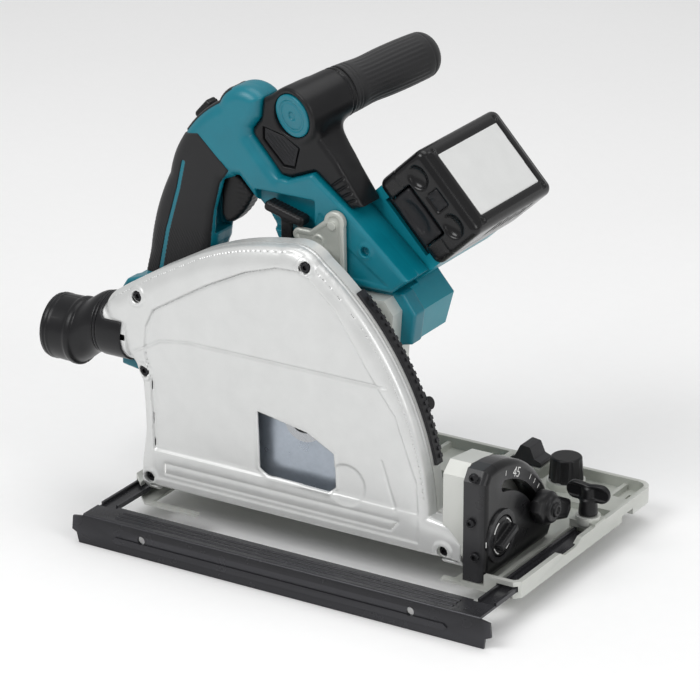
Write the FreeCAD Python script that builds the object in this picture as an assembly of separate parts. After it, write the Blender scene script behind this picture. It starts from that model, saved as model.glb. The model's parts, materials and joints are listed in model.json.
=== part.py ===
import FreeCAD, Part
import math
import os

# A cordless track plunge saw, in millimetres. +X points to the front of the saw,
# +Z up. Widths (y) are drawn from the base's cutting edge towards the motor side,
# and every piece is moved at the end so that the origin is mid-sole.
BASE_REAR = -178.5
BASE_FRONT = 170.5
BASE_WIDTH = 213.0
DECK = 4.5
RIM_TOP = 13.0

CASE_NEAR = 4.0
SEAM = 20.0
SEAM_GAP = 0.3
CASE_FAR = 45.0
COVER_WALL = 3.0
CASE_REAR = -160.0

PIVOT = (-145.0, 30.0)
ARBOR = (-20.0, 95.0)
PLUNGE = 28.9
BLADE_R = 82.5
BLADE_Y = 18.0
BLADE_BODY = 1.4
BEVEL_Y = 17.0
BEVEL_MAX = 48.0

GEAR_MODULE = 1.0
GEAR_TEETH = 34
PINION_TEETH = 10
MOTOR_AXIS = (-31.1, 114.2)
MOTOR_R = 34.0
MOTOR_NEAR = 75.0
MOTOR_FAR = 125.0

HANDLE_NEAR = 53.0
HANDLE_MID = 70.0
HANDLE_FAR = 87.0
COVER_FAR = 121.0

BATTERY_NEAR = 75.0
BATTERY_LENGTH = 115.0
BATTERY_WIDTH = 76.0
BATTERY_THICK = 50.0
RAIL_THICK = 9.0
FRONT_FACE = 234.0
FRONT_ALONG = -154.0
FRONT_TILT = 43.0
REAR_CENTRE = (-108.0, 97.0)
REAR_TILT = 193.0

FENCE_REAR = -176.0
FENCE_FRONT = 169.0
FENCE_Y = -54.0
FENCE_LOW = -16.0
FENCE_HOLES = (-123.0, 111.0)
ARM_WIDTH = 15.4
ARM_FRONT = 160.0
ARM_REAR = -169.0

ORIGIN_X = (BASE_REAR + BASE_FRONT) / 2
ORIGIN_Y = BASE_WIDTH / 2
V = FreeCAD.Vector


def save(node, *solids):
    shape = solids[0] if len(solids) == 1 else Part.makeCompound(list(solids))
    placed = shape.copy()
    placed.translate(V(-ORIGIN_X, -ORIGIN_Y, 0))
    placed.exportStep(f"parts/{node}.step")


def box(x0, x1, y0, y1, z0, z1):
    return Part.makeBox(x1 - x0, y1 - y0, z1 - z0, V(x0, y0, z0))


def rod(radius, start, end):
    run = V(*end) - V(*start)
    return Part.makeCylinder(radius, run.Length, V(*start), run)


def taper(radius_a, radius_b, start, end):
    run = V(*end) - V(*start)
    return Part.makeCone(radius_a, radius_b, run.Length, V(*start), run)


def fuse(shapes):
    whole = shapes[0]
    for shape in shapes[1:]:
        whole = whole.fuse(shape)
    return whole.removeSplitter()


def cut(shape, tools):
    for tool in tools:
        shape = shape.cut(tool)
    return shape.removeSplitter()


def wire(points, place):
    """A closed wire. A point of four numbers is an arc: through the first two, to the last two."""
    edges = []
    last = points[0][-2:]
    for item in points[1:] + [points[0][-2:]]:
        end = item[-2:]
        if len(item) == 4:
            edges.append(Part.Arc(place(*last), place(*item[:2]), place(*end)).toShape())
        elif (place(*end) - place(*last)).Length > 1e-6:
            edges.append(Part.LineSegment(place(*last), place(*end)).toShape())
        last = end
    return Part.Wire(edges)


def plate_y(points, y0, y1):
    face = Part.Face(wire(points, lambda a, b: V(a, y0, b)))
    return face.extrude(V(0, y1 - y0, 0))


def plate_x(points, x0, x1):
    face = Part.Face(wire(points, lambda a, b: V(x0, a, b)))
    return face.extrude(V(x1 - x0, 0, 0))


def plate_z(points, z0, z1):
    face = Part.Face(wire(points, lambda a, b: V(a, b, z0)))
    return face.extrude(V(0, 0, z1 - z0))


def soften(shape, radius, pick):
    """Round the edges that pick() accepts; keep the sharp shape if the kernel can't."""
    edges = [edge for edge in shape.Edges if pick(edge)]
    try:
        rounded = shape.makeFillet(radius, edges)
    except Part.OCCError:
        return shape
    return rounded if rounded.isValid() and rounded.Volume > 0 else shape


def edge_at(axis, value):
    """Accepts edges whose whole length lies at one value of x, y or z."""
    def pick(edge):
        low = edge.BoundBox
        lows = {"x": (low.XMin, low.XMax), "y": (low.YMin, low.YMax), "z": (low.ZMin, low.ZMax)}[axis]
        return abs(lows[0] - value) < 1e-3 and abs(lows[1] - value) < 1e-3
    return pick


def along(axis):
    """Accepts straight edges that run along one axis."""
    way = {"x": V(1, 0, 0), "y": V(0, 1, 0), "z": V(0, 0, 1)}[axis]

    def pick(edge):
        if edge.Curve.TypeId != "Part::GeomLine":
            return False
        run = edge.Vertexes[-1].Point - edge.Vertexes[0].Point
        return abs(run.normalize().dot(way)) > 0.999
    return pick


def turned(shape, centre, degrees, axis=(0, 1, 0)):
    """A copy turned about an axis through centre."""
    copy = shape.copy()
    copy.rotate(V(*centre), V(*axis), degrees)
    return copy


def swung(point, degrees):
    """An (x, z) point of the head after it has swung about the plunge pivot."""
    angle = math.radians(degrees)
    dx = point[0] - PIVOT[0]
    dz = point[1] - PIVOT[1]
    return (PIVOT[0] + dx * math.cos(angle) + dz * math.sin(angle),
            PIVOT[1] - dx * math.sin(angle) + dz * math.cos(angle))


# ---------------------------------------------------------------- base

SLOT_REAR = -152.0
SLOT_FRONT = 122.0
SLOT_FAR = 36.0
STRIP_WIDTH = 6.0
STRIP_THICK = 2.0
GROOVE_Y = (160.0, 178.0)
GROOVE_DEEP = 5.0
CLAMP_Y = 125.0
CLAMP_BAR = 12.0
KNOB_X = 111.0
KNOB_Y = 181.0
LEVER_X = 75.0
LEVER_Y = 199.0
NOTCH = (-110.0, 105.0)
FOOT_FRONT = 141.2


def base_outline():
    return [(BASE_REAR, 22), (BASE_REAR + 22, 0), (SLOT_FRONT + 1, 0), (BASE_FRONT - 5, 0),
            (BASE_FRONT, 5), (BASE_FRONT, 201), (BASE_FRONT - 3.5, 209.5, BASE_FRONT - 12, 213),
            (BASE_REAR + 12, 213), (BASE_REAR + 3.5, 209.5, BASE_REAR, 201)]


def base_rim(height, wall):
    outer = plate_z(base_outline(), 0, height)
    face = Part.Face(wire(base_outline(), lambda a, b: V(a, b, DECK)))
    inner = face.makeOffset2D(-wall).extrude(V(0, 0, height))
    return outer.cut(inner)


def base_plate():
    """The cast base: deck, rim, ribs, pads, the blade slot and the guide rail groove."""
    deck = plate_z(base_outline(), 0, DECK)
    rim = base_rim(RIM_TOP, 4.0)
    parts = [deck, rim, box(BASE_REAR + 2, BASE_FRONT - 2, GROOVE_Y[0] - 4, GROOVE_Y[1] + 4, 1, 9.5)]
    for x in (-110, -60, -10, 40, 90):
        parts.append(box(x, x + 3.5, 82, 210, 1, 9.5))
    for y in (84, 122):
        parts.append(box(BASE_REAR + 20, FRONT_GUIDE_X[0] - 2, y, y + 3.5, 1, 9.5))
    parts.append(box(BASE_FRONT - 24, BASE_FRONT - 20.5, 2, 211, 1, 9.0))
    parts.append(box(BASE_REAR + 20.5, BASE_REAR + 24, 30, 211, 1, RIM_TOP - 1))
    for x in (ARM_FRONT, ARM_REAR):
        parts.append(box(max(x - 11.4, BASE_REAR), min(x + 11.4, BASE_FRONT), CLAMP_Y - 8, CLAMP_Y + 8, 1, 15))
        parts.append(rod(9.5, (x, CLAMP_Y, 12), (x, CLAMP_Y, 18)))
    for x in (KNOB_X, -KNOB_X):
        parts.append(rod(15, (x, KNOB_Y, 1), (x, KNOB_Y, 15)))
    parts.append(box(LEVER_X - 28, LEVER_X + 9, LEVER_Y - 12, LEVER_Y + 12, 1, 14))
    whole = fuse(parts)
    arms = [box(x - ARM_WIDTH / 2 - 0.6, x + ARM_WIDTH / 2 + 0.6, -1, 150, DECK + 0.2, 9.4)
            for x in (ARM_FRONT, ARM_REAR)]
    near = [box(SLOT_REAR - 14, SLOT_FRONT, -1, SLOT_FAR, STRIP_THICK, 40),
            box(SLOT_REAR, SLOT_FRONT - 8, STRIP_WIDTH, SLOT_FAR, -1, 40),
            box(NOTCH[0], NOTCH[1], -1, STRIP_WIDTH + 1, -1, 40),
            box(SLOT_FRONT - 1, FOOT_FRONT, -1, 6, DECK, 40),
            box(BASE_REAR + 5, BASE_FRONT - 5, SLOT_FAR - 1, 80, DECK, 12.0).cut(
                box(SLOT_FRONT, BASE_FRONT, -1, 90, 0, 40))]
    groove = [box(BASE_REAR - 1, BASE_FRONT + 1, GROOVE_Y[0], GROOVE_Y[1], -1, GROOVE_DEEP)]
    holes = [rod(3.05, (x, CLAMP_Y, 8), (x, CLAMP_Y, 30)) for x in (ARM_FRONT, ARM_REAR)]
    holes += [rod(4.05, (x, KNOB_Y, 8), (x, KNOB_Y, 30)) for x in (KNOB_X, -KNOB_X)]
    slide = [box(LEVER_X - 22.2, LEVER_X + 6.2, LEVER_Y - 4.2, LEVER_Y + 4.2, 9, 20)]
    thumb = [plate_x([(60, RIM_TOP + 1), (70, 8.5), (88, 8.5), (98, RIM_TOP + 1)], BASE_FRONT - 6, BASE_FRONT + 1)]
    pockets = [box(157, 164, 139, 151, 3, 20), box(156, 164, 184, 200, 3, 20)]
    windows = [box(x, x + 26, 92, 116, -1, 40) for x in (-100, -45)]
    return cut(whole, near + arms + groove + holes + slide + thumb + pockets + windows)


def sector(radius, bottom, near, far):
    """A bevel plate's outline in (y, z): flat bottom, round top about the bevel axis."""
    low = math.degrees(math.asin(max(bottom, RIM_TOP) / radius)) + 1.5
    high = min(88.0, math.degrees(math.acos((near + 8 - BEVEL_Y) / radius)))
    ends = [(BEVEL_Y + radius * math.cos(math.radians(a)), radius * math.sin(math.radians(a)))
            for a in (low, (low + high) / 2, high)]
    return [(near, bottom), (far, bottom), ends[0], ends[1] + ends[2], (near + 6, ends[2][1] - 0.5),
            (near, ends[2][1] - 9)]


def arc_slot(radius, half, start, stop, x0, x1):
    """A slot of round ends that follows an arc about the bevel axis."""
    def at(r, angle):
        turn = math.radians(angle)
        return (BEVEL_Y + r * math.cos(turn), r * math.sin(turn))
    middle = (start + stop) / 2
    inner = radius - half
    outer = radius + half
    band = plate_x([at(outer, start), at(outer, middle) + at(outer, stop), at(inner, stop),
                    at(inner, middle) + at(inner, start)], x0, x1)
    ends = [rod(half, (x0,) + at(radius, a), (x1,) + at(radius, a)) for a in (start, stop)]
    return fuse([band] + ends)


FRONT_HUB = (80.0, 38.0)
REAR_HUB = (75.0, 34.0)
FRONT_GUIDE_X = (123.0, 141.0)
REAR_GUIDE_X = (-170.4, -164.5)
FRONT_GUIDE_R = 92.0
REAR_GUIDE_R = 80.0
DIAL = (24.0, 35.5)
DIAL_R = 15.5


def hub_polar(hub):
    return math.hypot(hub[0] - BEVEL_Y, hub[1]), math.degrees(math.atan2(hub[1], hub[0] - BEVEL_Y))


def front_angle_guide():
    """The black bevel quadrant on the front of the base, with its arc slot and dial seat."""
    low, high = FRONT_GUIDE_X
    body = plate_x(sector(FRONT_GUIDE_R, DECK + 0.2, 1.0, 100.0), low, high)
    body = soften(body, 6.0, edge_at("x", high))
    reach, start = hub_polar(FRONT_HUB)
    pocket = arc_slot(reach, 7.0, start - 4, start + BEVEL_MAX + 4, low - 1, high - 8.5)
    slot = arc_slot(reach, 4.4, start - 1.6, start + BEVEL_MAX + 1.0, low - 1, high + 1)
    dome = taper(22, 20, (high - 6, *DIAL), (high + 2.0, *DIAL))
    body = fuse([body, dome.common(plate_x(sector(FRONT_GUIDE_R - 3, DECK + 2.0, 3.0, 97.0),
                                           low, high + 4))])
    seat = rod(DIAL_R + 0.6, (high - 4.2, *DIAL), (high + 9, *DIAL))
    axle = rod(3.05, (high - 12, *DIAL), (high + 9, *DIAL))
    return cut(body, [pocket, slot, seat, axle])


def rear_angle_guide():
    low, high = REAR_GUIDE_X
    body = plate_x(sector(REAR_GUIDE_R, RIM_TOP, 47.0, 92.0), low, high)
    foot = box(low - 4, high, 60, 92, RIM_TOP, RIM_TOP + 5)
    reach, start = hub_polar(REAR_HUB)
    slot = arc_slot(reach, 4.4, start - 1.6, start + BEVEL_MAX + 1.0, low - 5, high + 1)
    return cut(fuse([body, foot]), [slot])


def socket_screw(x, y, z, way, head_r=3.4, head=3.6, shank_r=1.95, shank=9.0):
    """A button-head screw; its shank runs against way and its head stands out along it."""
    way = V(*way)
    start = V(x, y, z)
    shaft = Part.makeCylinder(shank_r, shank, start - way * shank, way)
    cap = Part.makeCylinder(head_r, head, start, way)
    cap = soften(cap, 1.0, lambda e: abs((e.BoundBox.Center - (start + way * head)).dot(way)) < 1e-3)
    hexagon = Part.makePolygon([start + way * (head - 1.6) + turn for turn in hex_ring(way, head_r * 0.5)])
    recess = Part.Face(hexagon).extrude(way * 3)
    return shaft.fuse(cap).cut(recess).removeSplitter()


def hex_ring(way, radius):
    side = way.cross(V(0, 0, 1))
    if side.Length < 0.5:
        side = way.cross(V(1, 0, 0))
    side.normalize()
    other = way.cross(side)
    corners = []
    for k in range(7):
        angle = math.radians(60 * k)
        corners.append(side * (radius * math.cos(angle)) + other * (radius * math.sin(angle)))
    return corners


def guide_screws():
    """Three screws on the near side of the front bevel quadrant."""
    places = [(132.0, 88.0), (130.0, 52.0), (134.0, 26.0)]
    return [socket_screw(x, 1.0, z, (0, -1, 0), shank=0.8) for x, z in places]


def bevel_stop_dial():
    """The dial that picks the bevel stop, turned by a bar across its face."""
    x = FRONT_GUIDE_X[1] - 4.0
    disc = rod(DIAL_R, (x, *DIAL), (x + 6, *DIAL))
    disc = soften(disc, 1.2, edge_at("x", x + 6))
    bar = box(x + 5, x + 13, DIAL[0] - 13.0, DIAL[0] + 13.0, DIAL[1] - 3.4, DIAL[1] + 3.4)
    bar = soften(bar, 2.4, along("x"))
    stem = rod(3.0, (x - 7, *DIAL), (x + 1, *DIAL))
    return turned(fuse([disc, bar, stem]), (x, *DIAL), -20, (1, 0, 0))


def fluted_knob(x, y, z, radius, height, flutes, bore_r):
    knob = taper(radius, radius * 0.9, (x, y, z), (x, y, z + height))
    knob = soften(knob, 2.0, edge_at("z", z + height))
    for k in range(flutes):
        angle = 2 * math.pi * k / flutes
        dx = radius * 1.12 * math.cos(angle)
        dy = radius * 1.12 * math.sin(angle)
        knob = knob.cut(rod(radius * 0.24, (x + dx, y + dy, z - 1), (x + dx, y + dy, z + height + 1)))
    return fuse([knob, rod(bore_r, (x, y, z - 6), (x, y, z + 1))])


def rail_knob(x):
    """A cam knob that takes up play on the guide rail."""
    return fluted_knob(x, KNOB_Y, 15.3, 13.5, 19.0, 8, 4.0)


def fence_clamp_screw(x):
    """A thumb screw with a long oval wing that pinches a fence arm."""
    collar = rod(7.6, (x, CLAMP_Y, 18.3), (x, CLAMP_Y, 22.0))
    cone = taper(6.8, 4.6, (x, CLAMP_Y, 22.0), (x, CLAMP_Y, 42.0))
    cone = soften(cone, 1.5, edge_at("z", 42.0))
    wing = Part.makeSphere(1.0).transformGeometry(
        FreeCAD.Matrix(19.4, 0, 0, x, 0, 3.0, 0, CLAMP_Y, 0, 0, 8.6, 36.5, 0, 0, 0, 1))
    thread = rod(3.0, (x, CLAMP_Y, 9.7), (x, CLAMP_Y, 18.5))
    return fuse([collar, cone, wing, thread])


def anti_tip_lever():
    """The sliding catch that holds the base to a guide rail in bevel cuts."""
    tongue = box(LEVER_X - 14, LEVER_X + 6, LEVER_Y - 4, LEVER_Y + 4, 9.4, 14.6)
    top = plate_y([(LEVER_X - 17, 14.3), (LEVER_X + 9, 14.3), (LEVER_X + 9, 18),
                   (LEVER_X + 3, 20), (LEVER_X - 1, 29), (LEVER_X - 9, 30),
                   (LEVER_X - 14, 20), (LEVER_X - 17, 18)], LEVER_Y - 9, LEVER_Y + 9)
    top = soften(top, 1.6, along("y"))
    grips = [rod(1.0, (LEVER_X - 9 + 2.6 * k, LEVER_Y - 10, 30.6), (LEVER_X - 9 + 2.6 * k, LEVER_Y + 10, 30.6))
             for k in range(4)]
    return fuse([cut(top, grips), tongue])


# ---------------------------------------------------------------- fence

def fence_rule():
    """The folded steel guide: a flat top with ridges and a flange that hangs below the sole."""
    top = box(FENCE_REAR, FENCE_FRONT, FENCE_Y + 1.0, -30, 6.2, 8.2)
    top = cut(top, [box(FENCE_REAR - 1, FENCE_REAR + 17, -34, -29, 0, 20),
                    box(FENCE_FRONT - 19, FENCE_FRONT + 1, -32, -29, 0, 20)])
    flange = plate_y([(FENCE_REAR, 6.5), (FENCE_REAR - 9, 5), (FENCE_REAR - 10, -6),
                      (FENCE_REAR - 6, -8), (FENCE_REAR - 4, FENCE_LOW), (FENCE_FRONT + 3, FENCE_LOW),
                      (FENCE_FRONT + 4, -8), (FENCE_FRONT + 9, -6), (FENCE_FRONT + 8, 5),
                      (FENCE_FRONT, 6.5)], FENCE_Y, FENCE_Y + 2)
    corner = rod(2.0, (FENCE_REAR, FENCE_Y + 2, 6.2), (FENCE_FRONT, FENCE_Y + 2, 6.2))
    corner = corner.common(box(FENCE_REAR, FENCE_FRONT, FENCE_Y, FENCE_Y + 2, 6.2, 9))
    ridges = [rod(1.5, (FENCE_REAR + 26, y, 7.6), (FENCE_FRONT - 26, y, 7.6)) for y in (-47, -42, -37)]
    rib = plate_y([(FENCE_REAR + 30, -4), (FENCE_FRONT - 30, -4), (FENCE_FRONT - 27, -6.5),
                   (FENCE_FRONT - 30, -9), (FENCE_REAR + 30, -9), (FENCE_REAR + 27, -6.5)],
                  FENCE_Y - 1.2, FENCE_Y + 0.5)
    holes = [rod(3.2, (x, FENCE_Y - 5, -1.5), (x, FENCE_Y + 5, -1.5)) for x in FENCE_HOLES]
    return cut(fuse([top, flange, corner, rib] + ridges), holes)


def fence_arm(x):
    """A flat steel arm that carries the fence and slides into the base."""
    strip = box(x - ARM_WIDTH / 2, x + ARM_WIDTH / 2, -53.0 + 2.6, 118, 4.9, 6.1)
    edges = [box(x - ARM_WIDTH / 2, x - ARM_WIDTH / 2 + 2, -28, 118, 6.0, 8.4),
             box(x + ARM_WIDTH / 2 - 2, x + ARM_WIDTH / 2, -28, 118, 6.0, 8.4)]
    return fuse([strip] + edges)


# ---------------------------------------------------------------- blade case

SCREW_SPOTS = ((-154, 22), (-158.5, 107.5), (-163, 167), (-15, 218.5), (104, 21))
WINDOW = [(-56.5, 96.5), (-55.5, 51), (-50, 47.5, -42, 47), (6, 46), (11, 50), (10, 77), (-13, 89)]
FRONT_ARC_R = 236.0


def case_outline(low):
    """The case from the side: a square back, a neck to the dust outlet and a round front."""
    def arc(angle):
        turn = math.radians(angle)
        return (PIVOT[0] + FRONT_ARC_R * math.cos(turn), PIVOT[1] + FRONT_ARC_R * math.sin(turn))
    start = arc(3.5)
    return [(CASE_REAR, low), (119.5, low), (119.5, 30), (108, 42), start, arc(28) + arc(54),
            (-21, 230, -38, 229.5), (-76, 222.5, -112, 209), (-150, 188), (-184, 167),
            (-195.5, 152, -194, 138), (-184, 122), (-170, 112, -163, 96), (CASE_REAR - 1.5, 76)]


def drop_outline(low, inset):
    """The same outline moved inwards, for the cavity."""
    face = Part.Face(wire(case_outline(low), lambda a, b: V(a, 0, b)))
    return face.makeOffset2D(-inset)


def cavity(low, inset, y0, y1):
    face = drop_outline(low, inset)
    face.translate(V(0, y0, 0))
    return face.extrude(V(0, y1 - y0, 0))


CASE_LOW = 12.0
STEP_Y = 31.0
STEP_IN = 12.0
COVER_ROUND = 9.0


NECK_END = -199.0
CUFF_BORE = 23.0
CUFF_END = -251.0


def dust_socket(y0, y1):
    """The short round neck at the back that the dust nozzle plugs into."""
    return rod(24, (NECK_END, 25, 133), (-180, 25, 133)).common(box(-220, -150, y0, y1, 50, 200))


def dust_bore():
    return rod(20, (-230, 25, 133), (-150, 25, 133))


def case_cover():
    """The painted near half of the blade case, with a domed edge and a window."""
    shell = plate_y(case_outline(9.0), CASE_NEAR, SEAM)
    shell = soften(shell, COVER_ROUND, lambda e: edge_at("y", CASE_NEAR)(e) and e.BoundBox.ZMax > 50)
    foot = plate_x([(CASE_NEAR - 1, 8), (CASE_NEAR - 1, 19), (CASE_NEAR, 19),
                    (CASE_NEAR + 10, 8)], -200, 140)
    inside = cavity(9.0, 4.0, CASE_NEAR + COVER_WALL, SEAM + 1)
    slot = box(-150, 100, CASE_NEAR + COVER_WALL, SEAM + 1, 0, 30)
    window = plate_y(WINDOW, 0, 12)
    neck = dust_socket(CASE_NEAR - 3, SEAM)
    whole = fuse([cut(shell, [foot, inside]), neck])
    bosses = [rod(5.5, (x, CASE_NEAR + 1.5, z), (x, SEAM, z)) for x, z in SCREW_SPOTS]
    whole = fuse([whole] + [boss.common(plate_y(case_outline(9.0), 0, 30)) for boss in bosses])
    tools = [slot, window, dust_bore()]
    tools += [rod(2.0, (x, 0, z), (x, SEAM + 1, z)) for x, z in SCREW_SPOTS]
    tools += [rod(4.4, (x, 0, z), (x, CASE_NEAR + 5.5, z)) for x, z in SCREW_SPOTS]
    return cut(whole, tools)


def arbor_sweep(radius, y0, y1):
    """The curved opening that the spindle's boss swings through."""
    angles = [-1.0, PLUNGE / 2, PLUNGE + 1.0]
    spots = [swung(ARBOR, angle) for angle in angles]
    reach = math.hypot(ARBOR[0] - PIVOT[0], ARBOR[1] - PIVOT[1])

    def at(r, spot):
        scale = r / reach
        return (PIVOT[0] + (spot[0] - PIVOT[0]) * scale, PIVOT[1] + (spot[1] - PIVOT[1]) * scale)
    outer = [at(reach + radius, spot) for spot in spots]
    inner = [at(reach - radius, spot) for spot in spots]
    band = plate_y([outer[0], outer[1] + outer[2], inner[2], inner[1] + inner[0]], y0, y1)
    ends = [rod(radius, (s[0], y0, s[1]), (s[0], y1, s[1])) for s in (spots[0], spots[2])]
    return fuse([band] + ends)


def stepped_plug(outer, inner, y0, y1, y2):
    """The case outline as a plug: inset by outer up to y1, and by inner up to y2."""
    first = cavity(CASE_LOW, outer, y0, y1) if outer > 0 else plate_y(case_outline(CASE_LOW), y0, y1)
    return fuse([first, cavity(CASE_LOW, inner, y1 - 0.5, y2)])


def case_back():
    """The cast far half of the case, stepped in, open below, with the head's curved opening."""
    start = SEAM + SEAM_GAP
    shell = stepped_plug(0, STEP_IN, start, STEP_Y, CASE_FAR)
    inside = stepped_plug(4.0, STEP_IN + 4.0, start - 1, STEP_Y - 4, CASE_FAR - 4)
    slot = box(-150, 100, start - 1, CASE_FAR - 10, 0, 40)
    neck = dust_socket(start, CASE_FAR + 8)
    hollow = cut(shell, [inside, slot])
    posts = [rod(5.5, (x, start, z), (x, STEP_Y - 1, z)) for x, z in SCREW_SPOTS]
    outer = plate_y(case_outline(CASE_LOW), start, CASE_FAR)
    lug = rod(13, (PIVOT[0], 26, PIVOT[1]), (PIVOT[0], CASE_FAR + 5.6, PIVOT[1]))
    whole = fuse([hollow, neck, lug] + [post.common(outer) for post in posts])
    tools = [dust_bore(), arbor_sweep(24.5, 20, 60)]
    tools += [rod(2.0, (x, start - 1, z), (x, STEP_Y - 2, z)) for x, z in SCREW_SPOTS]
    tools.append(rod(6.05, (PIVOT[0], 20, PIVOT[1]), (PIVOT[0], 60, PIVOT[1])))
    return cut(whole, tools)


def cover_screws():
    return [socket_screw(x, CASE_NEAR + 5.5, z, (0, -1, 0), 4.0, 3.2, 1.95, 15.0) for x, z in SCREW_SPOTS]


def front_bracket():
    """The cast bracket that carries the front of the case on the bevel quadrant."""
    high = FRONT_GUIDE_X[0] - 1.0
    outline = sector(FRONT_GUIDE_R - 4, 16.0, CASE_NEAR, 100.0)
    blade = plate_x(outline, high - 5, high)
    block = plate_x([(CASE_NEAR, 23), (CASE_NEAR + 6, 16), (46, 16), (46, 88), (CASE_NEAR + 10, 92),
                     (CASE_NEAR, 84)], 104.3, high)
    whole = fuse([blade, block])
    whole = cut(whole, [plate_x([(CASE_NEAR - 1, 10), (CASE_NEAR - 1, 23), (CASE_NEAR, 23),
                                 (CASE_NEAR + 8, 10)], 90, 130),
                        plate_y(case_outline(0.0), -1, 60),
                        rod(4.4, (90, *FRONT_HUB), (130, *FRONT_HUB))])
    return max(whole.Solids, key=lambda solid: solid.Volume)


def rear_bracket():
    high = CASE_REAR
    outline = sector(REAR_GUIDE_R - 3, 16.0, SEAM + 2, 92.0)
    return cut(plate_x(outline, REAR_GUIDE_X[1] + 0.5, high - 1.6),
               [rod(4.4, (-180, *REAR_HUB), (-150, *REAR_HUB))])


def bevel_lever(hub, guide_face, way, length, tail, lean, screw_length):
    """A clamp lever: a stepped hub on a screw through the guide and a swept arm."""
    x0 = guide_face + way * 0.4

    def at(reach):
        return (x0 + way * reach, *hub)
    parts = [rod(13.0, at(0), at(9)), taper(12.0, 9.0, at(9), at(15)), rod(5.0, at(15), at(17.5))]
    screw = rod(4.0, at(-screw_length), at(1))
    y, z = hub
    arm = plate_x([(y - tail, z - 5), (y - tail, z + 5), (y - 8, z + 10), (y + 8, z + 10),
                   (y + length, z + 8), (y + length + 2, z), (y + length, z - 8), (y + 8, z - 10),
                   (y - 8, z - 10)], min(x0 + way * 2.4, x0 + way * 10.6), max(x0 + way * 2.4, x0 + way * 10.6))
    arm = turned(soften(arm, 2.5, along("x")), (x0, y, z), lean, (1, 0, 0))
    return fuse(parts + [arm, screw])


def strip_ring(r0, r1, y0, y1, a0, a1):
    """A band that follows the case's round front."""
    def at(r, angle):
        turn = math.radians(angle)
        return (PIVOT[0] + r * math.cos(turn), PIVOT[1] + r * math.sin(turn))
    middle = (a0 + a1) / 2
    return plate_y([at(r1, a0), at(r1, middle) + at(r1, a1), at(r0, a1), at(r0, middle) + at(r0, a0)],
                   y0, y1)


STRIP_Y = (22.5, 30.8)


def depth_scale_strip():
    """The ribbed black depth scale on the case's round front."""
    r0 = FRONT_ARC_R + 0.2
    strip = strip_ring(r0, r0 + 2.6, *STRIP_Y, 12, 46)
    ribs = [strip_ring(r0 + 2.4, r0 + 3.6, STRIP_Y[0] + 4.5, STRIP_Y[1], 13 + 1.4 * k, 13.7 + 1.4 * k)
            for k in range(23)]
    return fuse([strip] + ribs)


def depth_stop_slider():
    """The depth stop that slides on the step beside the scale strip."""
    r0 = FRONT_ARC_R - STEP_IN + 0.3
    return soften(strip_ring(r0, r0 + 6, STEP_Y + 0.6, CASE_FAR - 0.6, 20.5, 24.5), 1.2, along("y"))


def depth_stop_knob():
    angle = math.radians(22.5)
    way = V(math.cos(angle), 0, math.sin(angle))
    start = V(PIVOT[0], 38, PIVOT[1]) + way * (FRONT_ARC_R - STEP_IN + 6.3)
    knob = Part.makeCylinder(5.0, 7, start, way)
    return soften(knob, 1.5, lambda e: True)


def head_pivot_pin():
    return rod(6.0, (PIVOT[0], 24, PIVOT[1]), (PIVOT[0], 74, PIVOT[1]))


def dust_elbow():
    """The swivel end of the dust nozzle, plugged into the case."""
    tube = fuse([rod(24.3, (NECK_END - 3.6, 25, 133), (NECK_END - 0.4, 25, 133)),
                 rod(19.95, (NECK_END - 3.6, 25, 133), (-176, 25, 133))])
    return cut(tube, [rod(17.8, (-210, 25, 133), (-170, 25, 133))])


def dust_cuff():
    """The sloping cone and the wide cuff that a hose pushes onto."""
    start = NECK_END - 3.8
    ring_x = CUFF_END + 23.0
    cone = Part.makeLoft([Part.Wire([Part.makeCircle(24.3, V(start, 25, 133), V(1, 0, 0))]),
                          Part.Wire([Part.makeCircle(24.6, V(ring_x + 3.5, 25, 121), V(1, 0, 0))])], True)
    ring = rod(26.6, (ring_x, 25, 120.5), (ring_x + 4, 25, 120.5))
    cuff = taper(26.0, 25.4, (ring_x + 0.5, 25, 120.5), (CUFF_END, 25, 120.5))
    inner = Part.makeLoft([Part.Wire([Part.makeCircle(17.8, V(start + 0.1, 25, 133), V(1, 0, 0))]),
                           Part.Wire([Part.makeCircle(22.5, V(ring_x + 1, 25, 121), V(1, 0, 0))])], True)
    bore = rod(CUFF_BORE, (CUFF_END - 2, 25, 120.5), (ring_x + 1, 25, 120.5))
    return cut(fuse([cone, ring, cuff]), [inner, bore])


# ---------------------------------------------------------------- head


def gear_housing():
    """The cast gearbox between the blade case and the motor."""
    near = CASE_FAR + 1.6
    x, z = ARBOR
    mx, mz = MOTOR_AXIS
    far = MOTOR_NEAR - 0.5
    body = fuse([rod(20.3, (x, near, z), (x, far, z)),
                 plate_y([(x - 20, z), (x + 20, z), (32, 118), (36, 178), (28, 188), (-70, 188),
                          (-74, 150), (mx - 34, mz)], near, far)])
    boss = rod(21.6, (x, 34, z), (x, near + 1, z))
    body = fuse([body, boss])
    hollow = [rod(18.2, (x, near + 3, z), (x, 64, z)), rod(11.0, (x, 64, z), (x, far + 1, z)),
              rod(11.02, (x, 33, z), (x, near + 4, z)), rod(7.5, (mx, near + 3, mz), (mx, 64, mz)),
              rod(8.02, (mx, 63, mz), (mx, far + 1, mz))]
    hollow += [plate_y([(-66, 146), (24, 146), (28, 176), (22, 182), (-62, 182)], near - 1, far - 4)]
    return cut(body, hollow)


def ball_bearing(x, z, y0, y1, outer, inner):
    """An outer ring and an inner ring, with a shield between them."""
    ring = rod(outer, (x, y0, z), (x, y1, z)).cut(rod(inner + 3.4, (x, y0, z), (x, y1, z)))
    shield = rod(inner + 3.5, (x, y0 + 0.8, z), (x, y1 - 0.8, z))
    core = rod(inner + 1.6, (x, y0, z), (x, y1, z))
    return cut(fuse([ring, shield, core]), [rod(inner, (x, y0 - 1, z), (x, y1 + 1, z))])


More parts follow.
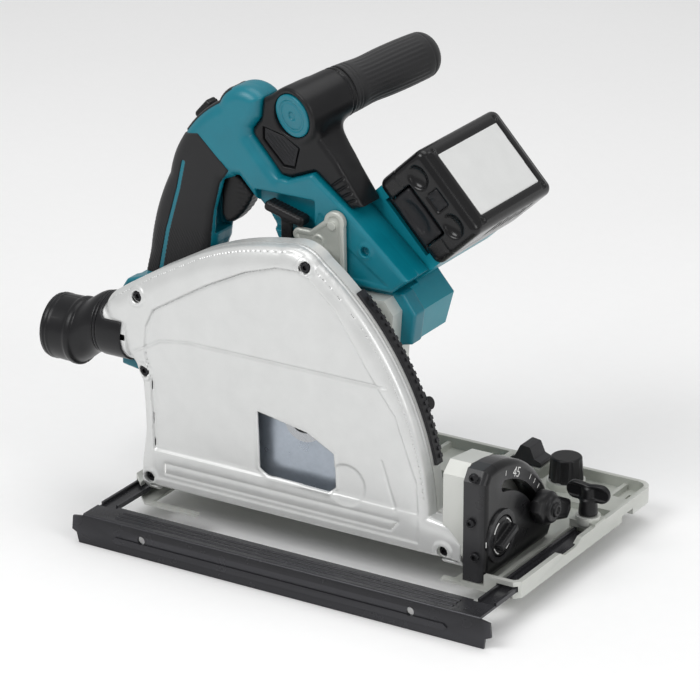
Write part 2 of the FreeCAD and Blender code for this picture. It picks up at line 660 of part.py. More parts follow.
def spindle():
    x, z = ARBOR
    shaft = rod(6.0, (x, 26.0, z), (x, 72.0, z))
    nose = rod(10.0, (x, 15.2, z), (x, 21.5, z))
    collar = rod(10.5, (x, 26.2, z), (x, 33.5, z))
    end = rod(6.0, (x, 21.5, z), (x, 26.3, z))
    bore = rod(4.02, (x, 10, z), (x, 32, z))
    return cut(fuse([shaft, nose, collar, end]), [bore])


def spur(x, z, teeth, y0, y1, phase):
    """A spur gear with flat-sided teeth, close to the involute at this size."""
    pitch = GEAR_MODULE * teeth / 2
    root = pitch - 1.25 * GEAR_MODULE
    tip = pitch + 0.95 * GEAR_MODULE
    step = 2 * math.pi / teeth
    outline = []
    for k in range(teeth):
        middle = phase + k * step
        for r, share in ((root, -0.32), (tip, -0.09), (tip, 0.09), (root, 0.32)):
            angle = middle + share * step
            outline.append((x + r * math.cos(angle), z + r * math.sin(angle)))
    return plate_y(outline, y0, y1)


def mesh_angle():
    return math.atan2(MOTOR_AXIS[1] - ARBOR[1], MOTOR_AXIS[0] - ARBOR[0])


def driven_gear():
    x, z = ARBOR
    gear = spur(x, z, GEAR_TEETH, 52, 60, mesh_angle())
    lightening = [rod(2.4, (x + 11 * math.cos(a), 50, z + 11 * math.sin(a)),
                      (x + 11 * math.cos(a), 62, z + 11 * math.sin(a)))
                  for a in [math.radians(60 * k) for k in range(6)]]
    return cut(gear, [rod(6.0, (x, 50, z), (x, 62, z))] + lightening)


def motor_shaft():
    """The motor shaft with its pinion cut on the end."""
    x, z = MOTOR_AXIS
    pinion = spur(x, z, PINION_TEETH, 51.5, 60.5, mesh_angle() + math.pi + math.pi / PINION_TEETH)
    return fuse([pinion, rod(3.5, (x, 60, z), (x, 120, z))])


def motor_rotor():
    x, z = MOTOR_AXIS
    return cut(rod(12.5, (x, 84, z), (x, 108, z)), [rod(3.5, (x, 80, z), (x, 110, z))])


def cooling_fan():
    x, z = MOTOR_AXIS
    hub = fuse([rod(7, (x, 110, z), (x, 117, z)), rod(27, (x, 110, z), (x, 111.5, z))])
    blades = []
    for k in range(12):
        vane = box(x + 10, x + 26.5, 111, 117, z - 0.7, z + 0.7)
        blades.append(turned(vane, (x, 0, z), 30 * k))
    return cut(fuse([hub] + blades), [rod(3.5, (x, 100, z), (x, 120, z))])


def stator():
    x, z = MOTOR_AXIS
    ring = rod(26.0, (x, 84, z), (x, 106, z)).cut(rod(21.0, (x, 80, z), (x, 110, z)))
    poles = []
    for k in range(6):
        pole = box(x + 13.2, x + 22, 84, 106, z - 3.2, z + 3.2)
        poles.append(turned(pole, (x, 0, z), 60 * k))
    return cut(fuse([ring] + poles), [rod(13.0, (x, 80, z), (x, 110, z))])


def motor_housing():
    """The teal motor can with air slots and a domed end."""
    x, z = MOTOR_AXIS
    can = rod(MOTOR_R, (x, MOTOR_NEAR, z), (x, MOTOR_FAR, z))
    can = soften(can, 7.0, edge_at("y", MOTOR_FAR))
    hollow = [rod(26.05, (x, MOTOR_NEAR - 1, z), (x, 109, z)), rod(28.5, (x, 108, z), (x, 119, z)),
              rod(5.0, (x, 118, z), (x, 121, z))]
    slots = []
    for k in range(9):
        vent = box(x + 20, x + 40, 110.5, 116, z - 1.8, z + 1.8)
        slots.append(turned(vent, (x, 0, z), 40 * k))
    for k in range(5):
        slots.append(box(x - 12 + 5 * k, x - 10 + 5 * k, 118, 130, z - 16, z + 16))
    return cut(can, hollow + slots)


def seat_front(shape):
    """Front seat: local +Z becomes the slope's outward normal."""
    copy = shape.copy()
    copy.rotate(V(0, 0, 0), V(0, 1, 0), 90 - FRONT_TILT)
    return copy


def seat_rear(shape):
    copy = shape.copy()
    copy.rotate(V(0, 0, 0), V(0, 1, 0), 90 - REAR_TILT)
    copy.translate(V(REAR_CENTRE[0], 0, REAR_CENTRE[1]))
    return copy


def battery_solid(top, along_x, y0, y1, button_side):
    """A slide pack: a rounded box on two rails. button_side is the y of its release end."""
    half = BATTERY_WIDTH / 2
    low = top - BATTERY_THICK
    body = box(along_x - half, along_x + half, y0, y1, low, top)
    body = soften(body, 7.0, lambda e: along("y")(e) and e.BoundBox.ZMin > top - 1)
    body = soften(body, 3.0, lambda e: along("y")(e) and e.BoundBox.ZMax < low + 1)
    rails = box(along_x - 25, along_x + 25, y0 + 14, y1 - 14, low - RAIL_THICK, low + 1)
    grooves = [box(along_x - 27, along_x - 20, y0, y1, low - 4.6, low - 0.6),
               box(along_x + 20, along_x + 27, y0, y1, low - 4.6, low - 0.6)]
    way = 1 if button_side == y0 else -1
    notch = box(along_x - 22, along_x + 22, min(button_side - way, button_side + way * 11),
                max(button_side - way, button_side + way * 11), low - 1, low + 24)
    return cut(fuse([body, rails]), grooves + [notch])


def mount_block(low, along_x, y0, y1, deep, mouth):
    """The teal seat that holds a pack's rails in a T groove; mouth is -1 if it opens to -Y."""
    block = box(along_x - 36, along_x + 36, y0, y1, low - deep, low - 0.5)
    block = soften(block, 4.0, along("y"))
    near = y0 - 1 if mouth < 0 else y0 + 8
    far = y1 - 8 if mouth < 0 else y1 + 1
    room = box(along_x - 25.6, along_x + 25.6, near, far, low - RAIL_THICK - 0.7, low + 1)
    lips = [box(side - 2.6, side + 2.6, y0 + 3, y1 - 8, low - 4.2, low - 1.0)
            for side in (along_x - 23.2, along_x + 23.2)]
    end = far if mouth < 0 else near
    pocket = box(along_x - 16, along_x + 16, min(end, end + mouth * 20), max(end, end + mouth * 20),
                 low - RAIL_THICK - 5, low)
    return fuse([block.cut(room).cut(pocket)] + lips)


def terminal_block(low, along_x, end, mouth):
    """The contact block at the closed end of a pack seat."""
    return box(along_x - 15.5, along_x + 15.5, min(end, end + mouth * 19.5), max(end, end + mouth * 19.5),
               low - RAIL_THICK - 5, low - RAIL_THICK - 1.0)


def battery_button(low, along_x, y_end, way):
    """The release button that fills the notch at the pack's end."""
    button = box(along_x - 21, along_x + 21, min(y_end, y_end + way * 8), max(y_end, y_end + way * 8),
                 low + 2.5, low + 22)
    return soften(button, 2.0, lambda e: True)


def electronics_cover():
    """The teal housing under the front battery seat that holds the controller."""
    low = plate_y([(-12, 150), (39, 150), (46, 176), (35, 188.5), (33, 190.5), (-12, 190.5)],
                  MOTOR_NEAR, COVER_FAR)
    top = plate_y([(-12, 188), (35, 188.5), (33, 191), (0, 226.5), (-12, 239)],
                  HANDLE_FAR + 0.4, COVER_FAR)
    whole = soften(fuse([low, top]), 3.0, edge_at("y", COVER_FAR))
    room = plate_y([(-8, 154), (36, 154), (41, 176), (32, 186), (-8, 186)], MOTOR_NEAR - 1, COVER_FAR - 4)
    return whole.cut(room)


def controller():
    """The potted speed controller under the front battery seat."""
    return soften(box(-6, 30, 84, 114, 156, 180), 1.5, along("y"))


OPENING = [(-68, 215), (-80, 232), (-104, 257), (-116, 252), (-123, 228), (-126, 200), (-131, 190),
           (-122, 176), (-100, 178), (-82, 198)]


def handle_outline():
    return [(-160, 78), (-212, 86), (-213, 146), (-206, 157), (-189, 163), (-186, 171),
            (-181, 209, -166, 250), (-152, 285, -122, 313), (-102, 328, -84, 322), (-86, 306),
            (-93, 297), (-93, 292), (-68.4, 264.4), (-59.6, 263.7), (-38.7, 272.1), (-8, 248.5),
            (20, 225), (44, 204), (30, 192), (-74, 191), (-78, 150), (-100, 100),
            (-120, 44), (-131, 20, -145, 15), (-156, 19, -160, 30)]


def handle_shell(y0, y1):
    shell = plate_y(handle_outline(), y0, y1)
    return cut(shell, [plate_y(OPENING, y0 - 1, y1 + 1)])


LOCK_POCKET = (-88, -36, 224, 252)


def handle_left():
    """The near shell half of the handle and the arm down to the plunge pivot."""
    shell = handle_shell(HANDLE_NEAR, HANDLE_MID)
    shell = soften(shell, 6.0, lambda e: edge_at("y", HANDLE_NEAR)(e) and e.BoundBox.ZMin > 180)
    x0, x1, z0, z1 = LOCK_POCKET
    tools = [box(x0, x1, HANDLE_NEAR - 1, HANDLE_NEAR + 9, z0, z1),
             rod(6.05, (PIVOT[0], 40, PIVOT[1]), (PIVOT[0], 80, PIVOT[1])),
             plate_y(TRIGGER_ROOM, HANDLE_NEAR + 5, HANDLE_MID + 1),
             box(-148, -108, HANDLE_MID - 9, HANDLE_MID + 1, 274, 330)]
    return cut(shell, tools)


def handle_right():
    """The far shell half; it ends above the rear battery."""
    shell = handle_shell(HANDLE_MID + 0.1, HANDLE_FAR)
    shell = soften(shell, 6.0, lambda e: edge_at("y", HANDLE_FAR)(e) and e.BoundBox.ZMin > 180)
    clear = [box(-240, -60, HANDLE_MID - 1, HANDLE_FAR + 1, 0, 158),
             plate_y(TRIGGER_ROOM, HANDLE_MID - 1, HANDLE_FAR - 5),
             box(-148, -108, HANDLE_MID - 1, HANDLE_MID + 9, 274, 330)]
    return max(cut(shell, clear).Solids, key=lambda solid: solid.Volume)


TRIGGER_ROOM = [(-90, 246), (-106, 266), (-124, 267), (-138, 236), (-136, 208), (-112, 208)]
TRIGGER_PIVOT = (-115.0, 258.0)


def trigger():
    """The finger trigger, hinged at its top in the front of the grip."""
    blade = plate_y([(-109, 257), (-96, 243), (-104, 228, -114, 218), (-120, 217), (-124, 223),
                     (-124, 240), (-121, 257)], HANDLE_MID - 8, HANDLE_MID + 8)
    blade = soften(blade, 1.5, lambda e: True)
    pin = rod(4.0, (TRIGGER_PIVOT[0], HANDLE_MID - 11, TRIGGER_PIVOT[1]),
              (TRIGGER_PIVOT[0], HANDLE_MID + 11, TRIGGER_PIVOT[1]))
    return fuse([blade, pin])


def lock_off_button():
    """The thumb button on top of the handle that frees the trigger."""
    cap = box(-143, -121, HANDLE_MID - 6, HANDLE_MID + 6, 286, 305)
    cap = turned(cap, (-132, 70, 300), 42)
    return soften(cap, 2.0, lambda e: True)


def grip_rubber():
    """Soft inlays on both sides of the grip."""
    outline = [(-138, 285), (-112, 262), (-121, 250), (-127, 226), (-130, 201), (-138, 168), (-177, 170),
               (-179, 178), (-172, 215), (-156, 256)]
    near = plate_y(outline, HANDLE_NEAR - 1.5, HANDLE_NEAR - 0.1)
    far = plate_y(outline, HANDLE_FAR + 0.1, HANDLE_FAR + 1.5)
    return [near, far]


BOSS_END = V(-56.5, 57.0, 313.5)
BOSS_R = 21.5
GRIP_AXIS = V(0.33, 1.0, 0.15).normalize()
GRIP_LENGTH = 90.0
GRIP_SEAM = V(-44.0, 104.0, 322.0)
BOSS_AXIS = (GRIP_SEAM - BOSS_END).normalize()
BRACKET = [(-84, 321.8), (-86, 306), (-93, 297), (-93, 292), (-68.4, 264.4), (-59.6, 263.7),
           (-38.7, 272.1), (-8, 248.5), (2, 252), (-20, 283), (-34, 298), (-40, 320), (-62, 332)]


def front_handle_bracket():
    """The black arm of the front handle: a boss above the spine and a strap that bolts to it."""
    saddle = plate_y(BRACKET, HANDLE_NEAR + 5.0, HANDLE_FAR + 0.3)
    saddle = soften(saddle, 1.5, edge_at("y", HANDLE_NEAR + 5.0))
    boss = Part.makeLoft([Part.Wire([Part.makeCircle(BOSS_R, BOSS_END, BOSS_AXIS)]),
                          Part.Wire([Part.makeCircle(19.5, GRIP_SEAM, GRIP_AXIS)])], True)
    whole = fuse([saddle, boss])
    return cut(whole, [plate_y(handle_outline(), HANDLE_NEAR - 0.25, HANDLE_FAR + 1.0),
                       Part.makeCylinder(17.2, 8.4, BOSS_END - BOSS_AXIS * 6.0, BOSS_AXIS)])


def front_handle_grip():
    """The round front grip, slightly tapered, with a domed end."""
    start = GRIP_SEAM + GRIP_AXIS * 0.2
    grip = Part.makeCone(19.3, 17.8, GRIP_LENGTH, start, GRIP_AXIS)
    end = start + GRIP_AXIS * GRIP_LENGTH
    return soften(grip, 12.0, lambda e: (e.BoundBox.Center - end).Length < 1.0)


def handle_end_cap():
    """The round cap over the handle's through bolt."""
    cap = Part.makeCylinder(17.0, 3.6, BOSS_END - BOSS_AXIS * 1.4, BOSS_AXIS)
    return soften(cap, 1.2, lambda e: (e.BoundBox.Center - (BOSS_END - BOSS_AXIS * 1.4)).Length < 0.1)


def case_hook():
    """The cast hook above the case, bolted to the gearbox."""
    near = CASE_FAR + 1.5
    hook = plate_y([(-44, 192), (-49, 222), (-50, 229, -44, 231), (-36, 231), (-24, 241),
                    (-13, 249, -7, 238), (-6, 192)], near, HANDLE_NEAR - 0.5)
    bolt = rod(3.6, (-17, near - 0.9, 238), (-17, near, 238))
    return fuse([soften(hook, 2.0, along("y")), bolt])


LOCK_PIVOT = (-58.0, 212.0)


def plunge_lock_lever():
    """The T-topped lever that locks the plunge."""
    near = CASE_FAR + 1.7
    cap = box(-77, -42, near, near + 13, 235, 243.5)
    cap = soften(turned(cap, (-60, 0, 239), -15), 3.0, lambda e: True)
    legs = box(-62, -52.5, near + 1, near + 5, 206, 238)
    pin = rod(3.0, (LOCK_PIVOT[0], near + 1, LOCK_PIVOT[1]), (LOCK_PIVOT[0], near + 6.1, LOCK_PIVOT[1]))
    return fuse([cap, legs, pin])


def housing_screws():
    spots = [(-128, 300), (-40, 252), (-60, 206), (-92, 170)]
    return [socket_screw(x, HANDLE_FAR - 0.1, z, (0, 1, 0), 3.4, 1.4, 1.8, 0.05) for x, z in spots]


def head_spring():
    """The torsion spring that lifts the head, around the plunge pivot."""
    coils = []
    for k in range(4):
        coils.append(Part.makeTorus(9.2, 0.9, V(PIVOT[0], 76.5 + 2.0 * k, PIVOT[1]), V(0, 1, 0)))
    return coils


def saw_blade():
    """A thin steel disc with hooked teeth and expansion slots."""
    x, z = ARBOR
    teeth = 48
    outline = []
    for k in range(teeth):
        for r, share in ((BLADE_R, 0.0), (BLADE_R - 1.0, 0.28), (BLADE_R - 5.0, 0.62), (BLADE_R - 4.4, 0.88)):
            angle = 2 * math.pi * (k + share) / teeth
            outline.append((x + r * math.cos(angle), z + r * math.sin(angle)))
    y0 = BLADE_Y - BLADE_BODY / 2
    disc = plate_y(outline, y0, y0 + BLADE_BODY)
    slots = []
    for k in range(4):
        slot = box(x + 62, x + 84, y0 - 1, y0 + 3, z - 0.6, z + 0.6)
        slots.append(turned(slot, (x, 0, z), 90 * k + 20))
        eye = rod(2.2, (x + 62, y0 - 1, z), (x + 62, y0 + 3, z))
        slots.append(turned(eye, (x, 0, z), 90 * k + 20))
    return cut(disc, [rod(10.0, (x, y0 - 1, z), (x, y0 + 3, z))] + slots)


def flange(y0, y1, radius, bore):
    x, z = ARBOR
    disc = rod(radius, (x, y0, z), (x, y1, z))
    return cut(disc, [rod(bore, (x, y0 - 1, z), (x, y1 + 1, z))])


def blade_bolt():
    x, z = ARBOR
    head = rod(8.0, (x, 8.4, z), (x, 12.0, z))
    shank = rod(4.0, (x, 11.5, z), (x, 30, z))
    way = V(0, -1, 0)
    hexagon = Part.makePolygon([V(x, 10.5, z) + turn for turn in hex_ring(way, 3.2)])
    return cut(fuse([head, shank]), [Part.Face(hexagon).extrude(way * 4)])


def build_base():
    save("base_plate", base_plate())
    save("front_angle_guide", front_angle_guide())
    save("guide_screws", *guide_screws())
    save("rear_angle_guide", rear_angle_guide())
    save("bevel_stop_dial", bevel_stop_dial())
    save("rail_knob_front", rail_knob(KNOB_X))
    save("rail_knob_rear", rail_knob(-KNOB_X))
    save("fence_clamp_front", fence_clamp_screw(ARM_FRONT))
    save("fence_clamp_rear", fence_clamp_screw(ARM_REAR))
    save("anti_tip_lever", anti_tip_lever())
    save("fence_rule", fence_rule())
    save("fence_arm_front", fence_arm(ARM_FRONT))
    save("fence_arm_rear", fence_arm(ARM_REAR))


def build_case():
    save("case_cover", case_cover())
    save("case_back", case_back())
    save("cover_screws", *cover_screws())
    save("front_bracket", front_bracket())
    save("rear_bracket", rear_bracket())
    save("bevel_lever_front", bevel_lever(FRONT_HUB, FRONT_GUIDE_X[1], 1, 34, 20, -22, 26))
    save("bevel_lever_rear", bevel_lever(REAR_HUB, REAR_GUIDE_X[0], -1, 30, 10, 20, 13))
    save("depth_scale_strip", depth_scale_strip())
    save("depth_stop_slider", depth_stop_slider())
    save("depth_stop_knob", depth_stop_knob())
    save("head_pivot_pin", head_pivot_pin())
    save("dust_elbow", dust_elbow())
    save("dust_cuff", dust_cuff())


def build_drive():
    x, z = ARBOR
    blade_near = BLADE_Y - BLADE_BODY / 2
    blade_far = BLADE_Y + BLADE_BODY / 2
    mx, mz = MOTOR_AXIS
    save("gear_housing", gear_housing())
    save("bearings", ball_bearing(x, z, 35, 42, 11.0, 6.05), ball_bearing(x, z, 65, 72, 11.0, 6.05),
         ball_bearing(mx, mz, 65, 70, 8.0, 3.55))
    save("spindle", spindle())
    save("driven_gear", driven_gear())
    save("inner_flange", flange(blade_far, 21.4, 21.0, 10.0))
    save("outer_flange", flange(12.0, blade_near, 17.0, 10.0))
    save("saw_blade", saw_blade())
    save("blade_bolt", blade_bolt())
    save("motor_shaft", motor_shaft())
    save("motor_rotor", motor_rotor())
    save("cooling_fan", cooling_fan())
    save("stator", stator())
    save("motor_housing", motor_housing())


def build_head():
    save("handle_left", handle_left())
    save("handle_right", handle_right())
    save("grip_rubber", *grip_rubber())
    save("trigger", trigger())
    save("lock_off_button", lock_off_button())
    save("front_handle_bracket", front_handle_bracket())
    save("front_handle_grip", front_handle_grip())
    save("handle_end_cap", handle_end_cap())
    save("case_hook", case_hook())
    save("plunge_lock_lever", plunge_lock_lever())
    save("housing_screws", *housing_screws())
    save("head_spring", *head_spring())
    save("electronics_cover", electronics_cover())
    save("controller", controller())


def build_batteries():
    near = BATTERY_NEAR
    far = near + BATTERY_LENGTH
    low = FRONT_FACE - BATTERY_THICK
    save("battery_front", seat_front(battery_solid(FRONT_FACE, FRONT_ALONG, near, far, near)))
    save("battery_button_front", seat_front(battery_button(low, FRONT_ALONG, near, 1)))
    save("battery_mount_front", seat_front(mount_block(low, FRONT_ALONG, HANDLE_FAR + 0.5, far - 4, 28, -1)))
    top = BATTERY_THICK / 2
    save("battery_rear", seat_rear(battery_solid(top, 0, near, far, far)))
    save("battery_button_rear", seat_rear(battery_button(-top, 0, far, -1)))
    save("battery_mount_rear", seat_rear(mount_block(-top, 0, near + 2, far - 10, 15, 1)))
    save("battery_terminals", seat_front(terminal_block(low, FRONT_ALONG, far - 12, -1)),
         seat_rear(terminal_block(-top, 0, near + 10, 1)))


os.makedirs("parts", exist_ok=True)
build_base()
build_case()
build_drive()
build_head()
build_batteries()
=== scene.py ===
import json
import math
import bpy
import numpy as np
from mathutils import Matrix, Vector


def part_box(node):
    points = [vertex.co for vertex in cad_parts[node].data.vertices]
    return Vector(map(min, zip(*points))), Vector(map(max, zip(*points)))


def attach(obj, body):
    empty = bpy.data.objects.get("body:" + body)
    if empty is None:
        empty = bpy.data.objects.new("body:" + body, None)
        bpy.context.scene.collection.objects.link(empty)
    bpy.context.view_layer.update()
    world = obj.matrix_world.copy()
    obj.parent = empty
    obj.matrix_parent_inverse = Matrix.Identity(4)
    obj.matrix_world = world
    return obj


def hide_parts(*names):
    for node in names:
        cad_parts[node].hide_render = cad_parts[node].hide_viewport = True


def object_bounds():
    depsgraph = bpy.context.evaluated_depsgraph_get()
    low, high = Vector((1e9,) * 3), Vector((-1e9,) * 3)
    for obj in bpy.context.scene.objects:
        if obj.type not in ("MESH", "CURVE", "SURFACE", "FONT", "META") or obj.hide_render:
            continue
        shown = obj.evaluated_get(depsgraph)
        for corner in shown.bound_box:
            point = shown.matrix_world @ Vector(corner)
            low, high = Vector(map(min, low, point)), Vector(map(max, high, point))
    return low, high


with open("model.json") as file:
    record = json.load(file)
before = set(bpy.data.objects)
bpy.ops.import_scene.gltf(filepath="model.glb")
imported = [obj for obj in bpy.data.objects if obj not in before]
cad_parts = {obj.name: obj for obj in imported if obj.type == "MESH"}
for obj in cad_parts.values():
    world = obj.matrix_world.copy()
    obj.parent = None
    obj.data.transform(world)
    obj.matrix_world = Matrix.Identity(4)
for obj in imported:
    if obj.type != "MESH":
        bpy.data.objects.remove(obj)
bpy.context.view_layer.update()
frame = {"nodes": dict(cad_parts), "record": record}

# The saw is drawn in millimetres: x forward, y from the base's cutting edge, z up from the sole.
MM = 0.001
BASE_REAR = -178.5
base_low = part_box("base_plate")[0]
SHIFT = np.array([base_low.x / MM - BASE_REAR, base_low.y / MM, 0.0])


def place(x, y, z):
    """A drawing point as a point of the row frame, in metres."""
    return Vector(((x + SHIFT[0]) * MM, (y + SHIFT[1]) * MM, (z + SHIFT[2]) * MM))


def span(nodes, margin):
    """The drawing box, in millimetres, around some CAD nodes."""
    lows = [np.array(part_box(n)[0]) / MM - SHIFT for n in nodes]
    highs = [np.array(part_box(n)[1]) / MM - SHIFT for n in nodes]
    return np.min(lows, 0) - margin, np.max(highs, 0) + margin


# ------------------------------------------------------------ distance fields

def trace(points, steps=20):
    """An outline's points. An item of four numbers is an arc: through the first two, to the last two."""
    line = [np.array(points[0][-2:], float)]
    for item in list(points[1:]) + [points[0][-2:]]:
        end = np.array(item[-2:], float)
        if len(item) == 4:
            line += arc_points(line[-1], np.array(item[:2], float), end, steps)
        line.append(end)
    return np.array(line[:-1])


def arc_points(a, b, c, steps):
    d = 2 * (a[0] * (b[1] - c[1]) + b[0] * (c[1] - a[1]) + c[0] * (a[1] - b[1]))
    sa, sb, sc = a @ a, b @ b, c @ c
    centre = np.array([sa * (b[1] - c[1]) + sb * (c[1] - a[1]) + sc * (a[1] - b[1]),
                       sa * (c[0] - b[0]) + sb * (a[0] - c[0]) + sc * (b[0] - a[0])]) / d
    angles = [math.atan2(*(p - centre)[::-1]) for p in (a, b, c)]
    turn = (angles[2] - angles[0]) % (2 * math.pi)
    if (angles[1] - angles[0]) % (2 * math.pi) > turn:
        turn -= 2 * math.pi
    radius = np.hypot(*(a - centre))
    spots = [angles[0] + turn * k / steps for k in range(1, steps)]
    return [centre + radius * np.array([math.cos(s), math.sin(s)]) for s in spots]


def outline(u, w, points):
    """Signed distance in a plane to a closed outline, negative inside."""
    corners = trace(points)
    shape = np.broadcast(u, w).shape
    far = np.full(shape, 1e9, np.float32)
    inside = np.zeros(shape, bool)
    for (ax, aw), (bx, bw) in zip(corners, np.roll(corners, -1, 0)):
        ex, ew = bx - ax, bw - aw
        size = ex * ex + ew * ew
        if size < 1e-9:
            continue
        t = np.clip(((u - ax) * ex + (w - aw) * ew) / size, 0, 1)
        far = np.minimum(far, np.hypot(u - ax - t * ex, w - aw - t * ew))
        if abs(ew) > 1e-9:
            hit = ((aw > w) != (bw > w)) & (u < ax + (w - aw) * ex / ew)
            inside ^= hit
    return np.where(inside, -far, far).astype(np.float32)


def extrude(flat, across, low, high, edge=1.0):
    """A flat shape given depth, with its edges rounded."""
    a = flat + edge
    b = np.abs(across - (low + high) / 2) - (high - low) / 2 + edge
    return np.minimum(np.maximum(a, b), 0) + np.hypot(np.maximum(a, 0), np.maximum(b, 0)) - edge


def join(a, b, soft=0.0):
    if soft <= 0:
        return np.minimum(a, b)
    h = np.maximum(soft - np.abs(a - b), 0) / soft
    return np.minimum(a, b) - h * h * soft / 4


def carve(a, b, soft=0.0):
    return -join(-a, b, soft)


def both(a, b, soft=0.0):
    return -join(-a, -b, soft)


def rod(p, start, end, radius, edge=0.6, end_radius=None):
    """A cylinder or cone between two points, with rounded rims."""
    start = np.array(start, float)
    run = np.array(end, float) - start
    length = np.linalg.norm(run)
    run /= length
    dx, dy, dz = p[0] - start[0], p[1] - start[1], p[2] - start[2]
    along = dx * run[0] + dy * run[1] + dz * run[2]
    around = np.sqrt(np.maximum(dx * dx + dy * dy + dz * dz - along * along, 0))
    if end_radius is not None:
        radius = radius + (end_radius - radius) * np.clip(along / length, 0, 1)
    return extrude(around - radius, along, 0, length, edge)


def limb(p, start, end, radius, end_radius):
    """A rounded bar between two points."""
    start = np.array(start, float)
    run = np.array(end, float) - start
    dx, dy, dz = p[0] - start[0], p[1] - start[1], p[2] - start[2]
    t = np.clip((dx * run[0] + dy * run[1] + dz * run[2]) / (run @ run), 0, 1)
    return np.sqrt((dx - t * run[0]) ** 2 + (dy - t * run[1]) ** 2 + (dz - t * run[2]) ** 2) \
        - radius - (end_radius - radius) * t


def block(p, low, high, edge=1.0):
    """A box with rounded edges."""
    q = [np.abs(p[k] - (low[k] + high[k]) / 2) - (high[k] - low[k]) / 2 + edge for k in range(3)]
    outside = np.sqrt(sum(np.maximum(a, 0) ** 2 for a in q))
    return outside + np.minimum(np.maximum(np.maximum(q[0], q[1]), q[2]), 0) - edge


def surface(field, low, high, step):
    """Vertices and quads where a field crosses zero."""
    counts = [int(math.ceil((h - l) / step)) + 1 for l, h in zip(low, high)]
    axes = [(l + step * np.arange(n)).astype(np.float32) for l, n in zip(low, counts)]
    grid = (axes[0][:, None, None], axes[1][None, :, None], axes[2][None, None, :])
    values = np.broadcast_to(field(grid), counts).astype(np.float32)
    inside = values < 0
    cells = [n - 1 for n in counts]
    corners = [(i, j, k) for i in (0, 1) for j in (0, 1) for k in (0, 1)]

    def view(array, c):
        return array[c[0]:c[0] + cells[0], c[1]:c[1] + cells[1], c[2]:c[2] + cells[2]]
    total = sum(view(inside, c).astype(np.int8) for c in corners)
    active = (total > 0) & (total < 8)
    number = np.full(cells, -1, np.int64)
    where = np.argwhere(active)
    number[active] = np.arange(len(where))
    sums = np.zeros((len(where), 3))
    count = np.zeros(len(where))
    for i, a in enumerate(corners):
        for b in corners[i + 1:]:
            if sum(abs(x - y) for x, y in zip(a, b)) != 1:
                continue
            va = values[tuple((where + a).T)]
            vb = values[tuple((where + b).T)]
            cross = (va < 0) != (vb < 0)
            t = va[cross] / (va[cross] - vb[cross])
            sums[cross] += np.array(a) + np.outer(t, np.array(b) - np.array(a))
            count[cross] += 1
    points = (where + sums / count[:, None]) * step + np.array(low)
    quads = []
    for axis in range(3):
        o1, o2 = [k for k in range(3) if k != axis]
        head = [slice(None)] * 3
        tail = [slice(None)] * 3
        head[axis], tail[axis] = slice(0, -1), slice(1, None)
        first, second = inside[tuple(head)], inside[tuple(tail)]
        spots = np.argwhere(first != second)
        keep = (spots[:, o1] > 0) & (spots[:, o2] > 0)
        keep &= (spots[:, o1] < counts[o1] - 1) & (spots[:, o2] < counts[o2] - 1)
        spots = spots[keep]
        outward = first[tuple(spots.T)]
        ring = []
        for d1, d2 in ((-1, -1), (0, -1), (0, 0), (-1, 0)):
            cell = spots.copy()
            cell[:, o1] += d1
            cell[:, o2] += d2
            ring.append(number[tuple(cell.T)])
        ring = np.stack(ring, 1)
        flip = outward if axis != 1 else ~outward
        ring[~flip] = ring[~flip][:, ::-1]
        quads.append(ring)
    return points, np.concatenate(quads)


def make_mesh(name, points, faces):
    """A smooth-shaded object from drawing points."""
    mesh = bpy.data.meshes.new(name)
    placed = (np.array(points) + SHIFT) * MM
    faces = np.array(faces)
    mesh.vertices.add(len(placed))
    mesh.vertices.foreach_set("co", placed.astype(np.float32).ravel())
    mesh.loops.add(faces.size)
    mesh.loops.foreach_set("vertex_index", faces.astype(np.int32).ravel())
    mesh.polygons.add(len(faces))
    mesh.polygons.foreach_set("loop_start", np.arange(0, faces.size, faces.shape[1], dtype=np.int32))
    mesh.polygons.foreach_set("use_smooth", np.ones(len(faces), bool))
    mesh.update(calc_edges=True)
    mesh.validate()
    obj = bpy.data.objects.new(name, mesh)
    bpy.context.scene.collection.objects.link(obj)
    return obj


def moulded(name, field, box, step, body, finish, replaced=(), keep=1.0):
    """A piece whose skin is where field is zero inside a drawing box. keep is the share of faces left."""
    points, quads = surface(field, box[0], box[1], step)
    obj = make_mesh(name, points, quads)
    if keep < 1.0:
        thin = obj.modifiers.new("thin", "DECIMATE")
        thin.ratio = keep
    obj.data.materials.append(finish)
    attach(obj, body)
    if replaced:
        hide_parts(*replaced)


# ------------------------------------------------------------ materials

def linear(share):
    return share / 12.92 if share < 0.0404 else ((share + 0.055) / 1.055) ** 2.4


def srgb(r, g, b):
    """A linear colour from screen values of 0 to 255."""
    return (linear(r / 255), linear(g / 255), linear(b / 255), 1)


ROUGH_SPREAD = 0.08
GRAIN_DEPTH = 0.00006
WORN_FROM, WORN_TO, WORN_SHARE = 0.53, 0.62, 0.6


def set_inputs(node, **values):
    for name, value in values.items():
        node.inputs[name.replace("_", " ")].default_value = value
    return node


def noise(tree, spot, scale, detail):
    node = set_inputs(tree.nodes.new("ShaderNodeTexNoise"), Scale=scale, Detail=detail)
    tree.links.new(spot.outputs["Object"], node.inputs["Vector"])
    return node.outputs["Fac"]


def weigh(tree, value, share, rest=None):
    """value x share, plus rest."""
    node = tree.nodes.new("ShaderNodeMath")
    node.operation = "MULTIPLY" if rest is None else "MULTIPLY_ADD"
    node.inputs[1].default_value = share
    tree.links.new(value, node.inputs[0])
    if rest is not None:
        tree.links.new(rest, node.inputs[2])
    return node.outputs[0]


